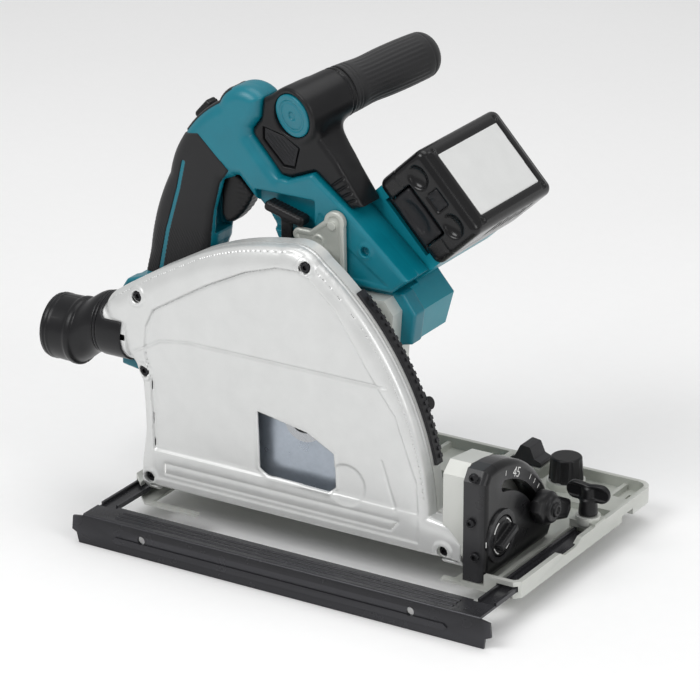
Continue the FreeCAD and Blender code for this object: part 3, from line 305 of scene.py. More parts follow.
def rub_edges(tree, colour, wear):
    """Paler paint where the surface turns a corner."""
    corner = tree.nodes.new("ShaderNodeNewGeometry")
    ramp = set_inputs(tree.nodes.new("ShaderNodeMapRange"), From_Min=WORN_FROM, From_Max=WORN_TO,
                      To_Max=WORN_SHARE)
    tree.links.new(corner.outputs["Pointiness"], ramp.inputs["Value"])
    rub = tree.nodes.new("ShaderNodeMix")
    rub.data_type = "RGBA"
    rub.inputs["B"].default_value = wear
    tree.links.new(ramp.outputs["Result"], rub.inputs["Factor"])
    tree.links.new(colour, rub.inputs["A"])
    return rub.outputs["Result"]


def material(name, dark, light, rough, metallic=0.0, grain=2500.0, bump=0.12, patch=60.0, wear=None,
             coat=0.0, sheen=0.0, gleam=0.5):
    """A moulded or cast finish: patchy colour, fine grain, and paler rubbed edges."""
    mat = bpy.data.materials.new(name)
    mat.use_nodes = True
    tree = mat.node_tree
    nodes, links = tree.nodes, tree.links
    shader = set_inputs(nodes["Principled BSDF"], Metallic=metallic, Coat_Weight=coat,
                        Specular_IOR_Level=gleam, Sheen_Weight=sheen)
    spot = nodes.new("ShaderNodeTexCoord")
    blotch = noise(tree, spot, patch, 5)
    speck = noise(tree, spot, grain, 3)
    tint = nodes.new("ShaderNodeMix")
    tint.data_type = "RGBA"
    set_inputs(tint, A=dark, B=light)
    links.new(weigh(tree, speck, 0.35, weigh(tree, blotch, 0.65)), tint.inputs["Factor"])
    colour = tint.outputs["Result"]
    if wear:
        colour = rub_edges(tree, colour, wear)
    links.new(colour, shader.inputs["Base Color"])
    gloss = set_inputs(nodes.new("ShaderNodeMapRange"), To_Min=rough - ROUGH_SPREAD,
                       To_Max=rough + ROUGH_SPREAD)
    links.new(blotch, gloss.inputs["Value"])
    links.new(gloss.outputs["Result"], shader.inputs["Roughness"])
    bumps = set_inputs(nodes.new("ShaderNodeBump"), Strength=bump, Distance=GRAIN_DEPTH)
    links.new(speck, bumps.inputs["Height"])
    links.new(bumps.outputs["Normal"], shader.inputs["Normal"])
    return mat


TEAL = material("teal_nylon", srgb(0, 100, 117), srgb(0, 124, 141), 0.34, wear=srgb(30, 150, 166), bump=0.2)
SILVER = material("silver_paint", srgb(204, 205, 204), srgb(226, 227, 226), 0.34, 0.35, grain=6000,
                  bump=0.10, wear=srgb(236, 236, 233), coat=0.15)
CAST = material("cast_alloy", srgb(170, 173, 166), srgb(203, 205, 199), 0.45, 0.45, grain=1500, bump=0.35,
                wear=srgb(225, 226, 222))
BLACK = material("black_nylon", srgb(14, 14, 15), srgb(26, 26, 28), 0.36, bump=0.3, wear=srgb(60, 60, 63),
                 gleam=0.3)
GUIDE = material("guide_paint", srgb(13, 13, 14), srgb(24, 24, 26), 0.30, bump=0.2, wear=srgb(66, 66, 68),
                 gleam=0.3)
RUBBER = material("grip_rubber", srgb(22, 22, 23), srgb(34, 34, 36), 0.56, grain=1800, bump=0.6, sheen=0.15,
                  gleam=0.3)
NOZZLE = material("nozzle_plastic", srgb(16, 16, 18), srgb(28, 28, 30), 0.32, bump=0.15,
                  wear=srgb(60, 60, 64), gleam=0.3)
PACK = material("pack_plastic", srgb(8, 8, 9), srgb(18, 18, 20), 0.26, grain=3000, bump=0.3,
                wear=srgb(52, 52, 56), coat=0.2, gleam=0.3)
LATCH = material("latch_plastic", srgb(20, 20, 22), srgb(34, 34, 37), 0.40, bump=0.2, wear=srgb(70, 70, 75),
                 gleam=0.3)
FENCE = material("black_oxide", srgb(14, 14, 15), srgb(28, 28, 30), 0.26, 0.35, grain=900, bump=0.12,
                 wear=srgb(74, 74, 78), gleam=0.3)
STEEL = material("turned_steel", srgb(150, 152, 155), srgb(196, 198, 201), 0.28, 0.95, grain=900, bump=0.1)
ZINC = material("zinc_plate", srgb(176, 178, 180), srgb(214, 216, 218), 0.25, 0.9, grain=1500, bump=0.1)
SCREW = material("black_screw", srgb(22, 22, 24), srgb(44, 44, 47), 0.35, 0.6, grain=1500, bump=0.1)
BLADE = material("ground_blade", srgb(150, 158, 168), srgb(188, 196, 206), 0.30, 0.75, grain=400, bump=0.1)
COPPER = material("copper_winding", srgb(150, 84, 44), srgb(196, 122, 70), 0.35, 0.9, grain=800, bump=0.3)
BOARD = material("potting", srgb(20, 22, 22), srgb(38, 40, 40), 0.5)
BRASS = material("contact_brass", srgb(180, 146, 70), srgb(214, 182, 104), 0.3, 0.95)
LABEL = material("label_film", srgb(208, 209, 208), srgb(226, 227, 226), 0.35, bump=0.05)
WHITE = material("print_white", srgb(214, 214, 212), srgb(232, 232, 230), 0.5, bump=0.05)

SLOT_FINISH = {
    "base_metal": CAST, "guide_black": GUIDE, "zinc": ZINC, "black_plastic": BLACK, "fence_black": FENCE,
    "cover_silver": SILVER, "screw_black": SCREW, "bracket_silver": CAST, "nozzle_black": NOZZLE,
    "gear_steel": STEEL, "winding_copper": COPPER, "teal_plastic": TEAL, "grip_rubber": RUBBER,
    "board_black": BOARD, "brass_contact": BRASS, "blade_steel": BLADE, "trigger_black": BLACK,
    "battery_black": PACK, "battery_grey": LATCH,
}


# The guide screws are zinc, but they are drawn in the dark screw finish: painted shade standing in for the
# shade of their recesses.
PAINTED_SHADE_SCREWS = ("guide_screws",)
CREASE = math.radians(32)


def dress_cad_nodes():
    """Every CAD node but the guide screws gets the finish of its slot; the zinc guide screws get the dark
    screw finish as painted shade. All get smooth shading between their creases.
    """
    for part in frame["record"]["subparts"]:
        node = frame["nodes"][part["node"]]
        node.data.materials.clear()
        # painted shade: the zinc guide screws take the dark screw finish in place of their slot's zinc
        finish = SCREW if part["node"] in PAINTED_SHADE_SCREWS else SLOT_FINISH[part["material_slot"]]
        node.data.materials.append(finish)
        node.data.polygons.foreach_set("use_smooth", [True] * len(node.data.polygons))
        node.data.set_sharp_from_angle(angle=CREASE)


# ------------------------------------------------------------ shapes shared by the pieces

PIVOT = (-145.0, 30.0)
CASE_R = 236.0
CASE_NEAR = 4.0
COVER_BACK = 19.9
DUST_Y, DUST_Z, CUFF_Z = 25, 133, 120.5
HANDLE_NEAR, HANDLE_MID, HANDLE_FAR = 53, 70, 87
MOTOR_X, MOTOR_Z = -31.1, 114.2
DIAL_Y, DIAL_Z = 24, 35.5
CLAMP_Y = 125
BUTTON_X, BUTTON_Z, BUTTON_TILT = -132, 300, math.radians(42)
BEVEL_Y = 17
SCREW_SPOTS = ((-154, 22), (-158.5, 107.5), (-163, 167), (-15, 218.5), (104, 21))
WINDOW = [(-56.5, 96.5), (-55.5, 51), (-50, 47.5, -42, 47), (6, 46), (11, 50), (10, 77), (-13, 89)]
PANEL = [(-149, 160), (-101, 189), (-67, 206), (-39, 215), (-17, 216), (12, 191), (40, 150), (63, 119),
         (81, 70), (84, 37), (84, 22), (-150, 22), (-153, 100), (-158, 125), (-156, 145)]
HANDLE = [(-160, 78), (-212, 86), (-213, 146), (-206, 157), (-189, 163), (-186, 171),
          (-181, 209, -166, 250), (-152, 285, -122, 313), (-102, 328, -84, 322), (-86, 306),
          (-93, 297), (-93, 292), (-68.4, 264.4), (-59.6, 263.7), (-38.7, 272.1), (-8, 248.5),
          (20, 225), (44, 204), (30, 192), (-74, 191), (-78, 150), (-100, 100),
          (-120, 44), (-131, 20, -145, 15), (-156, 19, -160, 30)]
OPENING = [(-68, 215), (-80, 232), (-104, 257), (-116, 252), (-123, 228), (-126, 200), (-131, 190),
           (-122, 176), (-100, 178), (-82, 198)]
TRIGGER_ROOM = [(-90, 246), (-106, 266), (-124, 267), (-138, 236), (-136, 208), (-112, 208)]
RUBBER_SIDE = [(-138, 287), (-111, 262), (-120, 250), (-126, 226), (-129, 201), (-137, 167), (-186, 168),
               (-192, 178), (-184, 215), (-166, 262), (-152, 284)]
BOSS_END = np.array([-56.5, 57.0, 313.5])
GRIP_SEAM = np.array([-44.0, 104.0, 322.0])
GRIP_AXIS = np.array([0.33, 1.0, 0.15]) / math.sqrt(0.33 ** 2 + 1 + 0.15 ** 2)
BOSS_AXIS = (GRIP_SEAM - BOSS_END) / np.linalg.norm(GRIP_SEAM - BOSS_END)
BRACKET = [(-84, 321.8), (-86, 306), (-93, 297), (-93, 292), (-68.4, 264.4), (-59.6, 263.7),
           (-38.7, 272.1), (-8, 248.5), (2, 252), (-20, 283), (-34, 298), (-40, 320), (-62, 332)]


def ease(value, start, stop):
    t = np.clip((value - start) / (stop - start), 0, 1)
    return t * t * (3 - 2 * t)


def ripple(phase):
    """A smooth wave between 0 and 1."""
    return 0.5 + 0.5 * np.cos(phase)


def scored(distance, width):
    """A rounded scored line: 1 at its middle, fading over its width."""
    return np.exp(-(distance / width) ** 2)


def stroke(u, w, points):
    """Distance in a plane to an open line."""
    far = np.full(np.broadcast(u, w).shape, 1e9, np.float32)
    for (ax, aw), (bx, bw) in zip(points, points[1:]):
        ex, ew = bx - ax, bw - aw
        t = np.clip(((u - ax) * ex + (w - aw) * ew) / (ex * ex + ew * ew), 0, 1)
        far = np.minimum(far, np.hypot(u - ax - t * ex, w - aw - t * ew))
    return far


def on_axis(p, start, way):
    """Distance along and around a line."""
    d = [p[k] - start[k] for k in range(3)]
    along = d[0] * way[0] + d[1] * way[1] + d[2] * way[2]
    around = np.sqrt(np.maximum(d[0] ** 2 + d[1] ** 2 + d[2] ** 2 - along ** 2, 0))
    return along, around


# ------------------------------------------------------------ blade case

def case_side(low):
    def arc(degrees):
        turn = math.radians(degrees)
        return (PIVOT[0] + CASE_R * math.cos(turn), PIVOT[1] + CASE_R * math.sin(turn))
    return [(-160, low), (119.5, low), (119.5, 30), (108, 42), arc(3.5), arc(28) + arc(54),
            (-21, 230, -38, 229.5), (-76, 222.5, -112, 209), (-150, 188), (-184, 167),
            (-195.5, 152, -194, 138), (-184, 122), (-170, 112, -163, 96), (-161.5, 76)]


def cover_face(x, z, flat):
    """How far back the cover's near skin lies: a round shoulder, a set-in panel and its creases."""
    shoulder = 1 - np.clip(-flat / 18, 0, 1)
    face = CASE_NEAR + 9.5 * (1 - np.sqrt(np.maximum(1 - shoulder ** 2, 0))) * ease(z, 28, 62)
    panel = ease(-outline(x, z, PANEL), 0, 1.6)
    face = face + 1.5 * panel
    fall = (x + 117) * 0.411 + (z - 139) * 0.911
    face = face + panel * 0.022 * np.clip(-fall, 0, 70) * ease(z, 44, 48)
    face = face + panel * 0.030 * np.clip(z - 139, 0, 60)
    face = face - 0.9 * panel * ease(46 - z, 0, 1.6)
    face = face + 0.7 * ease(17 - np.hypot(x - 21, z - 55), 0, 2.5)
    face = face + 0.6 * ease(1.6 - stroke(x, z, [(51, 80), (63, 44)]), 0, 1.2)
    foot_panel = stroke(x, z, [(-140, 36), (-140, 28), (60, 28), (66, 36), (-140, 36)])
    face = face + 0.5 * ease(1.2 - foot_panel, 0, 1.0)
    face = face - 0.6 * ease(3.0 - np.abs(outline(x, z, WINDOW)), 0, 1.4)
    face = face + 0.8 * ease(1.3 - stroke(x, z, [(-167, 122), (-143, 135), (-117, 139), (55, 139)]), 0, 1.0)
    for sx, sz in SCREW_SPOTS:
        face = face - 0.9 * ease(8.6 - np.hypot(x - sx, z - sz), 0, 1.6)
    return face


def cover_field(p):
    x, y, z = p
    flat = outline(x, z, case_side(9.0))
    face = cover_face(x, z, flat)
    body = both(extrude(flat, y, -20, COVER_BACK, 0.8), face - y, 1.6)
    body = carve(body, both(flat + 4.0, np.minimum(face + 2.2, 8.2) - y, 1.0))
    body = body + 0.7 * scored(y - 16.8, 0.8) * (flat > -3)
    neck = both(rod(p, (-199, DUST_Y, DUST_Z), (-172, DUST_Y, DUST_Z), 23.6, 1.0), y - COVER_BACK)
    body = join(body, neck, 1.0)
    for sx, sz in SCREW_SPOTS:
        post = extrude(np.hypot(x - sx, z - sz) - 5.6, y, 7, COVER_BACK, 0.4)
        body = join(body, both(post, flat + 0.6), 1.0)
    wall = np.minimum(face + 2.2, 8.2) * (x > -186)
    bore = both(rod(p, (-240, DUST_Y, DUST_Z), (-150, DUST_Y, DUST_Z), 20, 0.1), wall - y)
    body = carve(body, bore)
    body = carve(body, block(p, (-150, 7, -9), (100, 30, 30), 0.5))
    body = carve(body, extrude(outline(x, z, WINDOW), y, -5, 15, 0.4), 0.8)
    for sx, sz in SCREW_SPOTS:
        body = carve(body, extrude(np.hypot(x - sx, z - sz) - 4.5, y, -5, 9.6, 0.2), 0.5)
    return np.maximum(body, (8.6 + np.maximum(13 - y, 0)) - z)


def case_pieces():
    moulded("case_cover_skin", cover_field, ((-202, 1.5, 6), (124, 21.4, 234)), 0.9, "blade_case",
            SILVER, ("case_cover",), 0.45)


# ------------------------------------------------------------ dust nozzle

def nozzle_field(p):
    x, y, z = p
    t = np.clip((-202.8 - x) / 24.5, 0, 1)
    bend = ease(t, 0, 1)
    middle = DUST_Z - 12.5 * bend
    around = np.hypot(y - DUST_Y, z - middle)
    skin = extrude(around - (24.0 + 0.6 * bend), x, -230, -202.6, 0.6)
    ring = rod(p, (-228.6, DUST_Y, CUFF_Z), (-223.6, DUST_Y, CUFF_Z), 26.6, 1.3)
    cuff = rod(p, (-251, DUST_Y, CUFF_Z), (-226, DUST_Y, CUFF_Z), 25.2, 1.0, 26.0)
    whole = join(join(skin, cuff, 2.0), ring, 1.5)
    for at in (-248.5, -245.3):
        whole = join(whole, rod(p, (at, DUST_Y, CUFF_Z), (at + 1.2, DUST_Y, CUFF_Z), 25.9, 0.5), 0.8)
    bore = extrude(around - (17.8 + 4.7 * bend), x, -231, -190, 0.2)
    mouth = rod(p, (-262, DUST_Y, CUFF_Z), (-227, DUST_Y, CUFF_Z), 23, 0.2)
    seam = 0.35 * scored(y - DUST_Y, 0.45)
    return carve(carve(whole + seam, bore), mouth, 1.0)


def elbow_field(p):
    collar = rod(p, (-202.4, DUST_Y, DUST_Z), (-199.5, DUST_Y, DUST_Z), 24.6, 0.8)
    plug = rod(p, (-202, DUST_Y, DUST_Z), (-177, DUST_Y, DUST_Z), 19.8, 0.8)
    bore = rod(p, (-230, DUST_Y, DUST_Z), (-150, DUST_Y, DUST_Z), 17.8, 0.1)
    return carve(join(collar, plug, 1.0), bore, 0.4)


def neck_field(p):
    """The black seal ring that covers the case's neck."""
    x, y, z = p
    ring = rod(p, (-199.2, DUST_Y, DUST_Z), (-176, DUST_Y, DUST_Z), 25.2, 1.0)
    ring = carve(ring, rod(p, (-230, DUST_Y, DUST_Z), (-150, DUST_Y, DUST_Z), 23.7, 0.1))
    case = extrude(outline(x, z, case_side(9.0)) - 0.4, y, 3, 33, 6.0)
    return carve(ring, case)


def nozzle_pieces():
    moulded("neck_seal", neck_field, ((-201, -2, 106), (-174, 52, 160)), 0.7, "blade_case",
            NOZZLE, (), 0.5)
    moulded("dust_cuff_skin", nozzle_field, ((-253, -4, 91), (-201, 54, 160)), 0.8, "dust_nozzle",
            NOZZLE, ("dust_cuff",), 0.5)
    moulded("dust_elbow_skin", elbow_field, ((-204, -1, 106), (-175, 51, 160)), 0.8, "dust_nozzle",
            NOZZLE, ("dust_elbow",), 0.5)


# ------------------------------------------------------------ handle

def button_frame(p):
    """The lock-off button's own axes: along the slope behind the spine, across, and up from it."""
    dx, dz = p[0] - BUTTON_X, p[2] - BUTTON_Z
    cosine, sine = math.cos(BUTTON_TILT), math.sin(BUTTON_TILT)
    return dx * cosine - dz * sine, p[1], dx * sine + dz * cosine


def handle_flat(x, z):
    return both(outline(x, z, HANDLE), -outline(x, z, OPENING))


def handle_hull(p, grow=0.0):
    x, y, z = p
    flat = handle_flat(x, z) - grow
    wide = extrude(flat, y, HANDLE_NEAR - grow, HANDLE_FAR + grow, 10.0)
    low = extrude(flat, y, HANDLE_NEAR - grow, HANDLE_FAR + grow, 3.0)
    upper = ease(z, 165, 190) * ease(-x, 62, 78)
    return wide * upper + low * (1 - upper)


def handle_field(p):
    x, y, z = p
    body = handle_hull(p)
    body = body + 0.45 * scored(y - HANDLE_MID, 0.5)
    body = carve(body, block(p, (-240, 69, 0), (-60, 95, 158), 0.6))
    body = carve(body, extrude(outline(x, z, TRIGGER_ROOM), y, 58.5, 81.5, 1.0), 1.0)
    body = carve(body, block(p, (-88, 50, 224), (-36, 62, 252), 2.0), 1.5)
    body = carve(body, block(button_frame(p), (-11.7, 63.3, -15), (15.2, 76.7, 30), 3.2), 0.6)
    rib = ease(1.0 - stroke(x, z, [(-75, 222), (-96, 250), (-118, 268)]), 0, 0.8) * (y < 62)
    body = body + 0.5 * rib
    panel = outline(x, z, [(-32, 245), (-8, 222), (30, 196), (-30, 198), (-40, 222)])
    body = body + 0.9 * ease(-panel, 0, 1.5) * (y < 60)
    for k in range(7):
        vent = stroke(x, z, [(-208, 96 + 7 * k), (-176, 92 + 7 * k)])
        body = body + 1.1 * ease(2.2 - vent, 0, 1.0) * (y < 57)
    for sx, sz in ((-184, 150), (-79, 206), (8, 221), (-148, 60)):
        hole = extrude(np.hypot(x - sx, z - sz) - 3.6, y, 50, 57, 0.3)
        body = join(body, extrude(np.hypot(x - sx, z - sz) - 6.0, y, 52.2, 58, 0.8), 1.5)
        body = carve(body, hole, 0.6)
    return carve(body, rod(p, (PIVOT[0], 40, PIVOT[1]), (PIVOT[0], 80, PIVOT[1]), 6.1, 0.1))


def rubber_field(p):
    x, y, z = p
    region = outline(x, z, RUBBER_SIDE)
    skin = both(handle_hull(p, 0.9), region, 1.2)
    ribs = 0.35 * ripple((x + 0.55 * z) * 2.4) * ease(215 - z, 0, 8)
    skin = skin + ribs
    stripe = [(-151, 262), (-156, 240), (-166, 206), (-173, 173)]
    skin = carve(skin, np.maximum(stroke(x, z, stripe) - 1.5, np.abs(y - HANDLE_MID) - 60), 0.6)
    skin = carve(skin, handle_hull(p, -1.4))
    return carve(skin, extrude(outline(x, z, TRIGGER_ROOM) - 1.0, y, 56, 84, 1.0), 0.8)


def thumb_field(p):
    x, y, z = p
    region = outline(x, z, [(-156, 286), (-146, 306), (-116, 326), (-103, 322), (-110, 309), (-140, 284)])
    skin = both(both(handle_hull(p, 0.8), region, 1.0), np.abs(y - HANDLE_MID) - 12, 1.5)
    skin = carve(skin, handle_hull(p, -1.2))
    return carve(skin, block(button_frame(p), (-12.2, 62.8, -15), (15.6, 77.2, 30), 3.4), 0.6)


def lock_off_field(p):
    q = button_frame(p)
    return block(q, (-11, 64, -14), (11, 76, 5), 3.0) + 0.45 * ripple(q[0] * 2.2) * ease(q[2], 2, 4)


def trigger_field(p):
    x, y, z = p
    flat = outline(x, z, [(-109, 257), (-96, 243), (-104, 228, -114, 218), (-120, 217), (-124, 223),
                          (-124, 240), (-121, 257)])
    blade = extrude(flat, y, 62, 78, 3.2)
    blade = blade + 0.3 * ripple(z * 1.6) * ease(x, -112, -106)
    return join(blade, rod(p, (-115, 59.2, 258), (-115, 80.8, 258), 4, 0.4), 0.8)


def boss_field(p):
    x, y, z = p
    boss = rod(p, BOSS_END, GRIP_SEAM, 21.5, 2.6, 19.5)
    saddle = extrude(outline(x, z, BRACKET), y, 58.5, 87.3, 4.0)
    neck = limb(p, (-50, 84, 302), (-30, 78, 274), 15, 10)
    whole = join(join(boss, saddle, 6.0), neck, 8.0)
    window = outline(x, z, [(-84, 300), (-84, 290), (-66, 272), (-56, 272), (-52, 288), (-66, 296)])
    whole = carve(whole, extrude(window, y, 50, 61.5, 1.0), 1.5)
    for step in (8, 12, 16, 20):
        line = stroke(x, z, [(-34 + step, 270 - step * 0.9), (-22 + step, 282 - step * 1.2)])
        whole = carve(whole, extrude(line - 0.9, y, 50, 60, 0.3), 0.5)
    along, around = on_axis(p, BOSS_END, BOSS_AXIS)
    whole = carve(whole, extrude(around - 17.3, along, -9, 2.4, 0.3), 0.6)
    whole = carve(whole, np.maximum(np.abs(along - 44.5) - 0.6, 18.6 - around), 0.6)
    whole = carve(whole, extrude(outline(x, z, HANDLE) - 0.2, y, 40, 88, 0.3), 0.3)
    return whole


def cap_field(p):
    along, around = on_axis(p, BOSS_END, BOSS_AXIS)
    disc = extrude(around - 17.0, along, -1.6, 2.2, 1.2)
    disc = carve(disc, extrude(around - 12.5, along, -8, -0.9, 0.5), 0.8)
    disc = join(disc, extrude(around - 10.5, along, -1.3, 1.5, 0.6), 0.6)
    return carve(disc, extrude(around - 3.2, along, -8, -0.2, 0.4), 0.8)


def grip_field(p):
    along, around = on_axis(p, GRIP_SEAM, GRIP_AXIS)
    radius = 19.3 - 1.5 * np.clip(along / 90, 0, 1) - 0.9 * scored(along - 24, 13) \
        + 0.5 * scored(along - 62, 20)
    turn = np.arctan2(p[2] - GRIP_SEAM[2] - along * GRIP_AXIS[2],
                      p[0] - GRIP_SEAM[0] - along * GRIP_AXIS[0])
    body = extrude(around - radius, along, -14, 90.2, 11.0)
    ribs = 0.45 * ripple(turn * 30) * ease(along, 10, 16) * ease(76 - along, 0, 6) \
        * ease(np.cos(turn - 0.2) * 1.0, -0.2, 0.3)
    body = body + ribs
    for at in (4.0, 7.0, 79.5):
        body = body + 0.6 * scored(along - at, 0.55)
    return np.maximum(body, 0.2 - along)


def spine_panel_field(p):
    x, y, z = p
    flat = outline(x, z, [(-83, 299), (-83, 290.5), (-66, 273), (-57, 273), (-53.5, 287.5), (-66, 295)])
    panel = extrude(flat, y, 59.8, 63.0, 0.6)
    return panel + 0.5 * ripple((x + z) * 1.7) * ease(-flat, 1.5, 2.5) * (y < 61.5)


def hook_field(p):
    x, y, z = p
    flat = outline(x, z, [(-44, 192), (-49, 222), (-50, 229, -44, 231), (-36, 231), (-24, 241),
                          (-13, 249, -7, 238), (-6, 192)])
    hook = extrude(flat, y, 46.6, 52.4, 1.6)
    hook = carve(hook, extrude(flat + 4.0, y, 40, 47.6, 0.5), 1.0)
    hook = join(hook, extrude(np.hypot(x + 29, z - 223.5) - 5.2, y, 46.7, 50, 0.8), 1.0)
    hook = carve(hook, extrude(np.hypot(x + 29, z - 223.5) - 3.2, y, 40, 47.6, 0.2), 0.4)
    return join(hook, rod(p, (-17, 45.7, 238), (-17, 48, 238), 3.5, 0.6), 0.4)


def lock_lever_field(p):
    turn = math.radians(15)
    dx, dz = p[0] + 60, p[2] - 239
    u, w = dx * math.cos(turn) + dz * math.sin(-turn), dx * math.sin(turn) + dz * math.cos(turn)
    cap = block((u, p[1], w), (-17, 46.8, -4.0), (18, 59.6, 4.4), 3.2)
    cap = cap + 0.35 * ripple(u * 2.0) * ease(w, 2, 3.4)
    leg = block(p, (-62, 47.8, 206), (-52.5, 51.6, 238), 1.4)
    return join(cap, leg, 2.0)


def handle_pieces():
    moulded("handle_skin", handle_field, ((-216, 50, 12), (48, 90, 330)), 1.15, "saw_head",
            TEAL, ("handle_left", "handle_right"), 0.4)
    moulded("grip_rubber_skin", rubber_field, ((-196, 50, 163), (-104, 90, 292)), 0.8, "saw_head",
            RUBBER, ("grip_rubber",), 0.4)
    moulded("thumb_rubber_skin", thumb_field, ((-160, 56, 280), (-98, 84, 332)), 0.8, "saw_head",
            RUBBER, (), 0.5)
    moulded("lock_off_skin", lock_off_field, ((-150, 62, 283), (-114, 78, 318)), 0.5, "lock_off",
            BLACK, ("lock_off_button",), 0.5)
    moulded("trigger_skin", trigger_field, ((-128, 57, 214), (-92, 83, 265)), 0.6, "trigger",
            BLACK, ("trigger",), 0.5)
    moulded("front_bracket_skin", boss_field, ((-98, 50, 244), (8, 110, 350)), 0.8, "saw_head",
            BLACK, ("front_handle_bracket",), 0.45)
    moulded("boss_cap_skin", cap_field, ((-76, 48, 292), (-36, 68, 335)), 0.5, "saw_head",
            TEAL, ("handle_end_cap",), 0.5)
    moulded("front_grip_skin", grip_field, ((-68, 92, 298), (14, 204, 362)), 0.7, "saw_head",
            RUBBER, ("front_handle_grip",), 0.45)
    moulded("spine_panel", spine_panel_field, ((-88, 58, 268), (-48, 65, 303)), 0.45, "saw_head",
            LATCH, (), 0.5)
    moulded("case_hook_skin", hook_field, ((-53, 44, 190), (-3, 54, 252)), 0.6, "saw_head",
            CAST, ("case_hook",), 0.5)
    moulded("lock_lever_skin", lock_lever_field, ((-82, 45, 204), (-38, 61, 252)), 0.5, "plunge_lock",
            BLACK, ("plunge_lock_lever",), 0.5)


# ------------------------------------------------------------ battery packs

def front_seat(p):
    turn = math.radians(47)
    e, n = (math.cos(turn), -math.sin(turn)), (math.sin(turn), math.cos(turn))
    return (p[0] * e[0] + p[2] * e[1] + 154, p[1], p[0] * n[0] + p[2] * n[1] - 184)


def rear_seat(p):
    turn = math.radians(-103)
    e, n = (math.cos(turn), -math.sin(turn)), (math.sin(turn), math.cos(turn))
    x, z = p[0] + 108, p[2] - 97
    return (x * e[0] + z * e[1], 265 - p[1], x * n[0] + z * n[1] + 25)


def pack_body(q):
    """A slide pack in its own frame: a across, y from its release end, c up from its seat."""
    a, y, c = q
    body = block(q, (-38, 75, 0), (38, 190, 50), 6.5)
    body = join(body, block(q, (-33, 82, 42), (33, 183, 51.2), 2.6), 2.0)
    body = carve(body, block(q, (-28.5, 88, 50.2), (28.5, 177, 60), 2.5), 0.6)
    body = body + 0.55 * scored(c - 18, 0.6)
    for start in range(112, 172, 12):
        for side in (-38, 38):
            slot = block(q, (side - 1.3, start, 24), (side + 1.3, start + 6, 43), 1.0)
            body = carve(body, slot, 1.0)
    for side in (-1, 1):
        scoop = np.sqrt(((a - side * 22) / 9.5) ** 2 + ((c - 34) / 7.5) ** 2 + ((y - 75) / 4.0) ** 2) - 1
        body = carve(body, scoop * 5.0, 1.0)
    body = carve(body, block(q, (-8, 70, 30), (8, 76.3, 42), 1.2), 0.6)
    for side in (-1, 1):
        for end in (87, 178):
            body = carve(body, extrude(np.hypot(a - side * 31, y - end) - 2.3, c, 49.6, 60, 0.2), 0.4)
    rails = block(q, (-25, 89, -9), (25, 176, 2), 0.8)
    body = join(body, rails, 0.6)
    for side in (-1, 1):
        body = carve(body, block(q, (side * 23.5 - 3.6, 70, -4.7), (side * 23.5 + 3.6, 200, -0.5), 0.2))
    return carve(body, block(q, (-22, 60, -2), (22, 86, 24), 0.8), 0.4)


def pack_label(q):
    film = block(q, (-27.6, 89, 47.0), (27.6, 176, 50.9), 0.6)
    return film + 0.12 * scored(q[1] - 110, 0.4)


def pack_button(q):
    a, y, c = q
    key = block(q, (-21, 75, 2.5), (21, 83, 22), 2.4)
    key = carve(key, np.sqrt((a / 15) ** 2 + ((c - 12) / 6.5) ** 2 + ((y - 75) / 2.2) ** 2) * 3 - 3, 0.8)
    return key + 0.3 * ripple(c * 2.4) * (np.abs(a) < 12) * (y < 80)


def pack_gauge(q):
    a, y, c = q
    plate = block(q, (-7.4, 75.5, 30.6), (7.4, 77, 41.4), 0.7)
    dot = extrude(np.hypot(a + 3.4, c - 36) - 2.6, y, 74.9, 76.5, 0.5)
    bars = block(q, (1.2, 75.1, 32.5), (5.4, 76.5, 39.5), 0.4)
    return join(join(plate, dot, 0.3), bars + 0.25 * ripple(c * 3.6), 0.2)


def pack_pieces():
    for name, seat in (("front", front_seat), ("rear", rear_seat)):
        body, button = "battery_" + name, "battery_button_" + name
        low, high = span((body, button), 3.0)
        moulded("pack_" + name, lambda p: pack_body(seat(p)), (low, high), 1.0, body,
                PACK, (body,), 0.4)
        moulded("pack_label_" + name, lambda p: pack_label(seat(p)), (low, high), 1.1, body,
                LABEL, (), 0.3)
        moulded("pack_gauge_" + name, lambda p: pack_gauge(seat(p)), (low, high), 0.9, body,
                LATCH, (), 0.6)
        moulded("pack_button_" + name, lambda p: pack_button(seat(p)), (low, high), 0.9, button,
                LATCH, (button,), 0.6)


# ------------------------------------------------------------ base fittings

def lever_field(p, hub, face, way, reach, tail, lean):
    x, y, z = p
    out = (x - face) * way
    turn = math.radians(-lean)
    dy, dz = y - hub[0], z - hub[1]
    u = dy * math.cos(turn) - dz * math.sin(turn)
    w = dy * math.sin(turn) + dz * math.cos(turn)
    wing = outline(u, w, [(-tail, -4.5), (-tail, 4.5), (-8, 10), (8, 10), (reach, 7.5), (reach + 3, 0),
                          (reach, -7.5), (8, -10), (-8, -10)])
    arm = extrude(wing, out, 2.5, 10.8, 3.4)
    arm = arm + 0.7 * ease(-wing, 3.5, 5.0) * ease(out, 8.4, 9.2) * ease(u, 10, 12)
    around = np.hypot(dy, dz)
    hub_body = extrude(around - 13, out, 0.7, 10.5, 1.2)
    cone = extrude(around - (13 - 0.45 * np.clip(out - 8, 0, 9)), out, 8, 15, 1.4)
    whole = join(join(arm, hub_body, 3.0), cone, 1.0)
    whole = join(whole, extrude(around - 5.2, out, 12, 17.4, 1.0), 0.6)
    return carve(whole, extrude(around - 2.6, out, 16.2, 24, 0.2), 0.4)


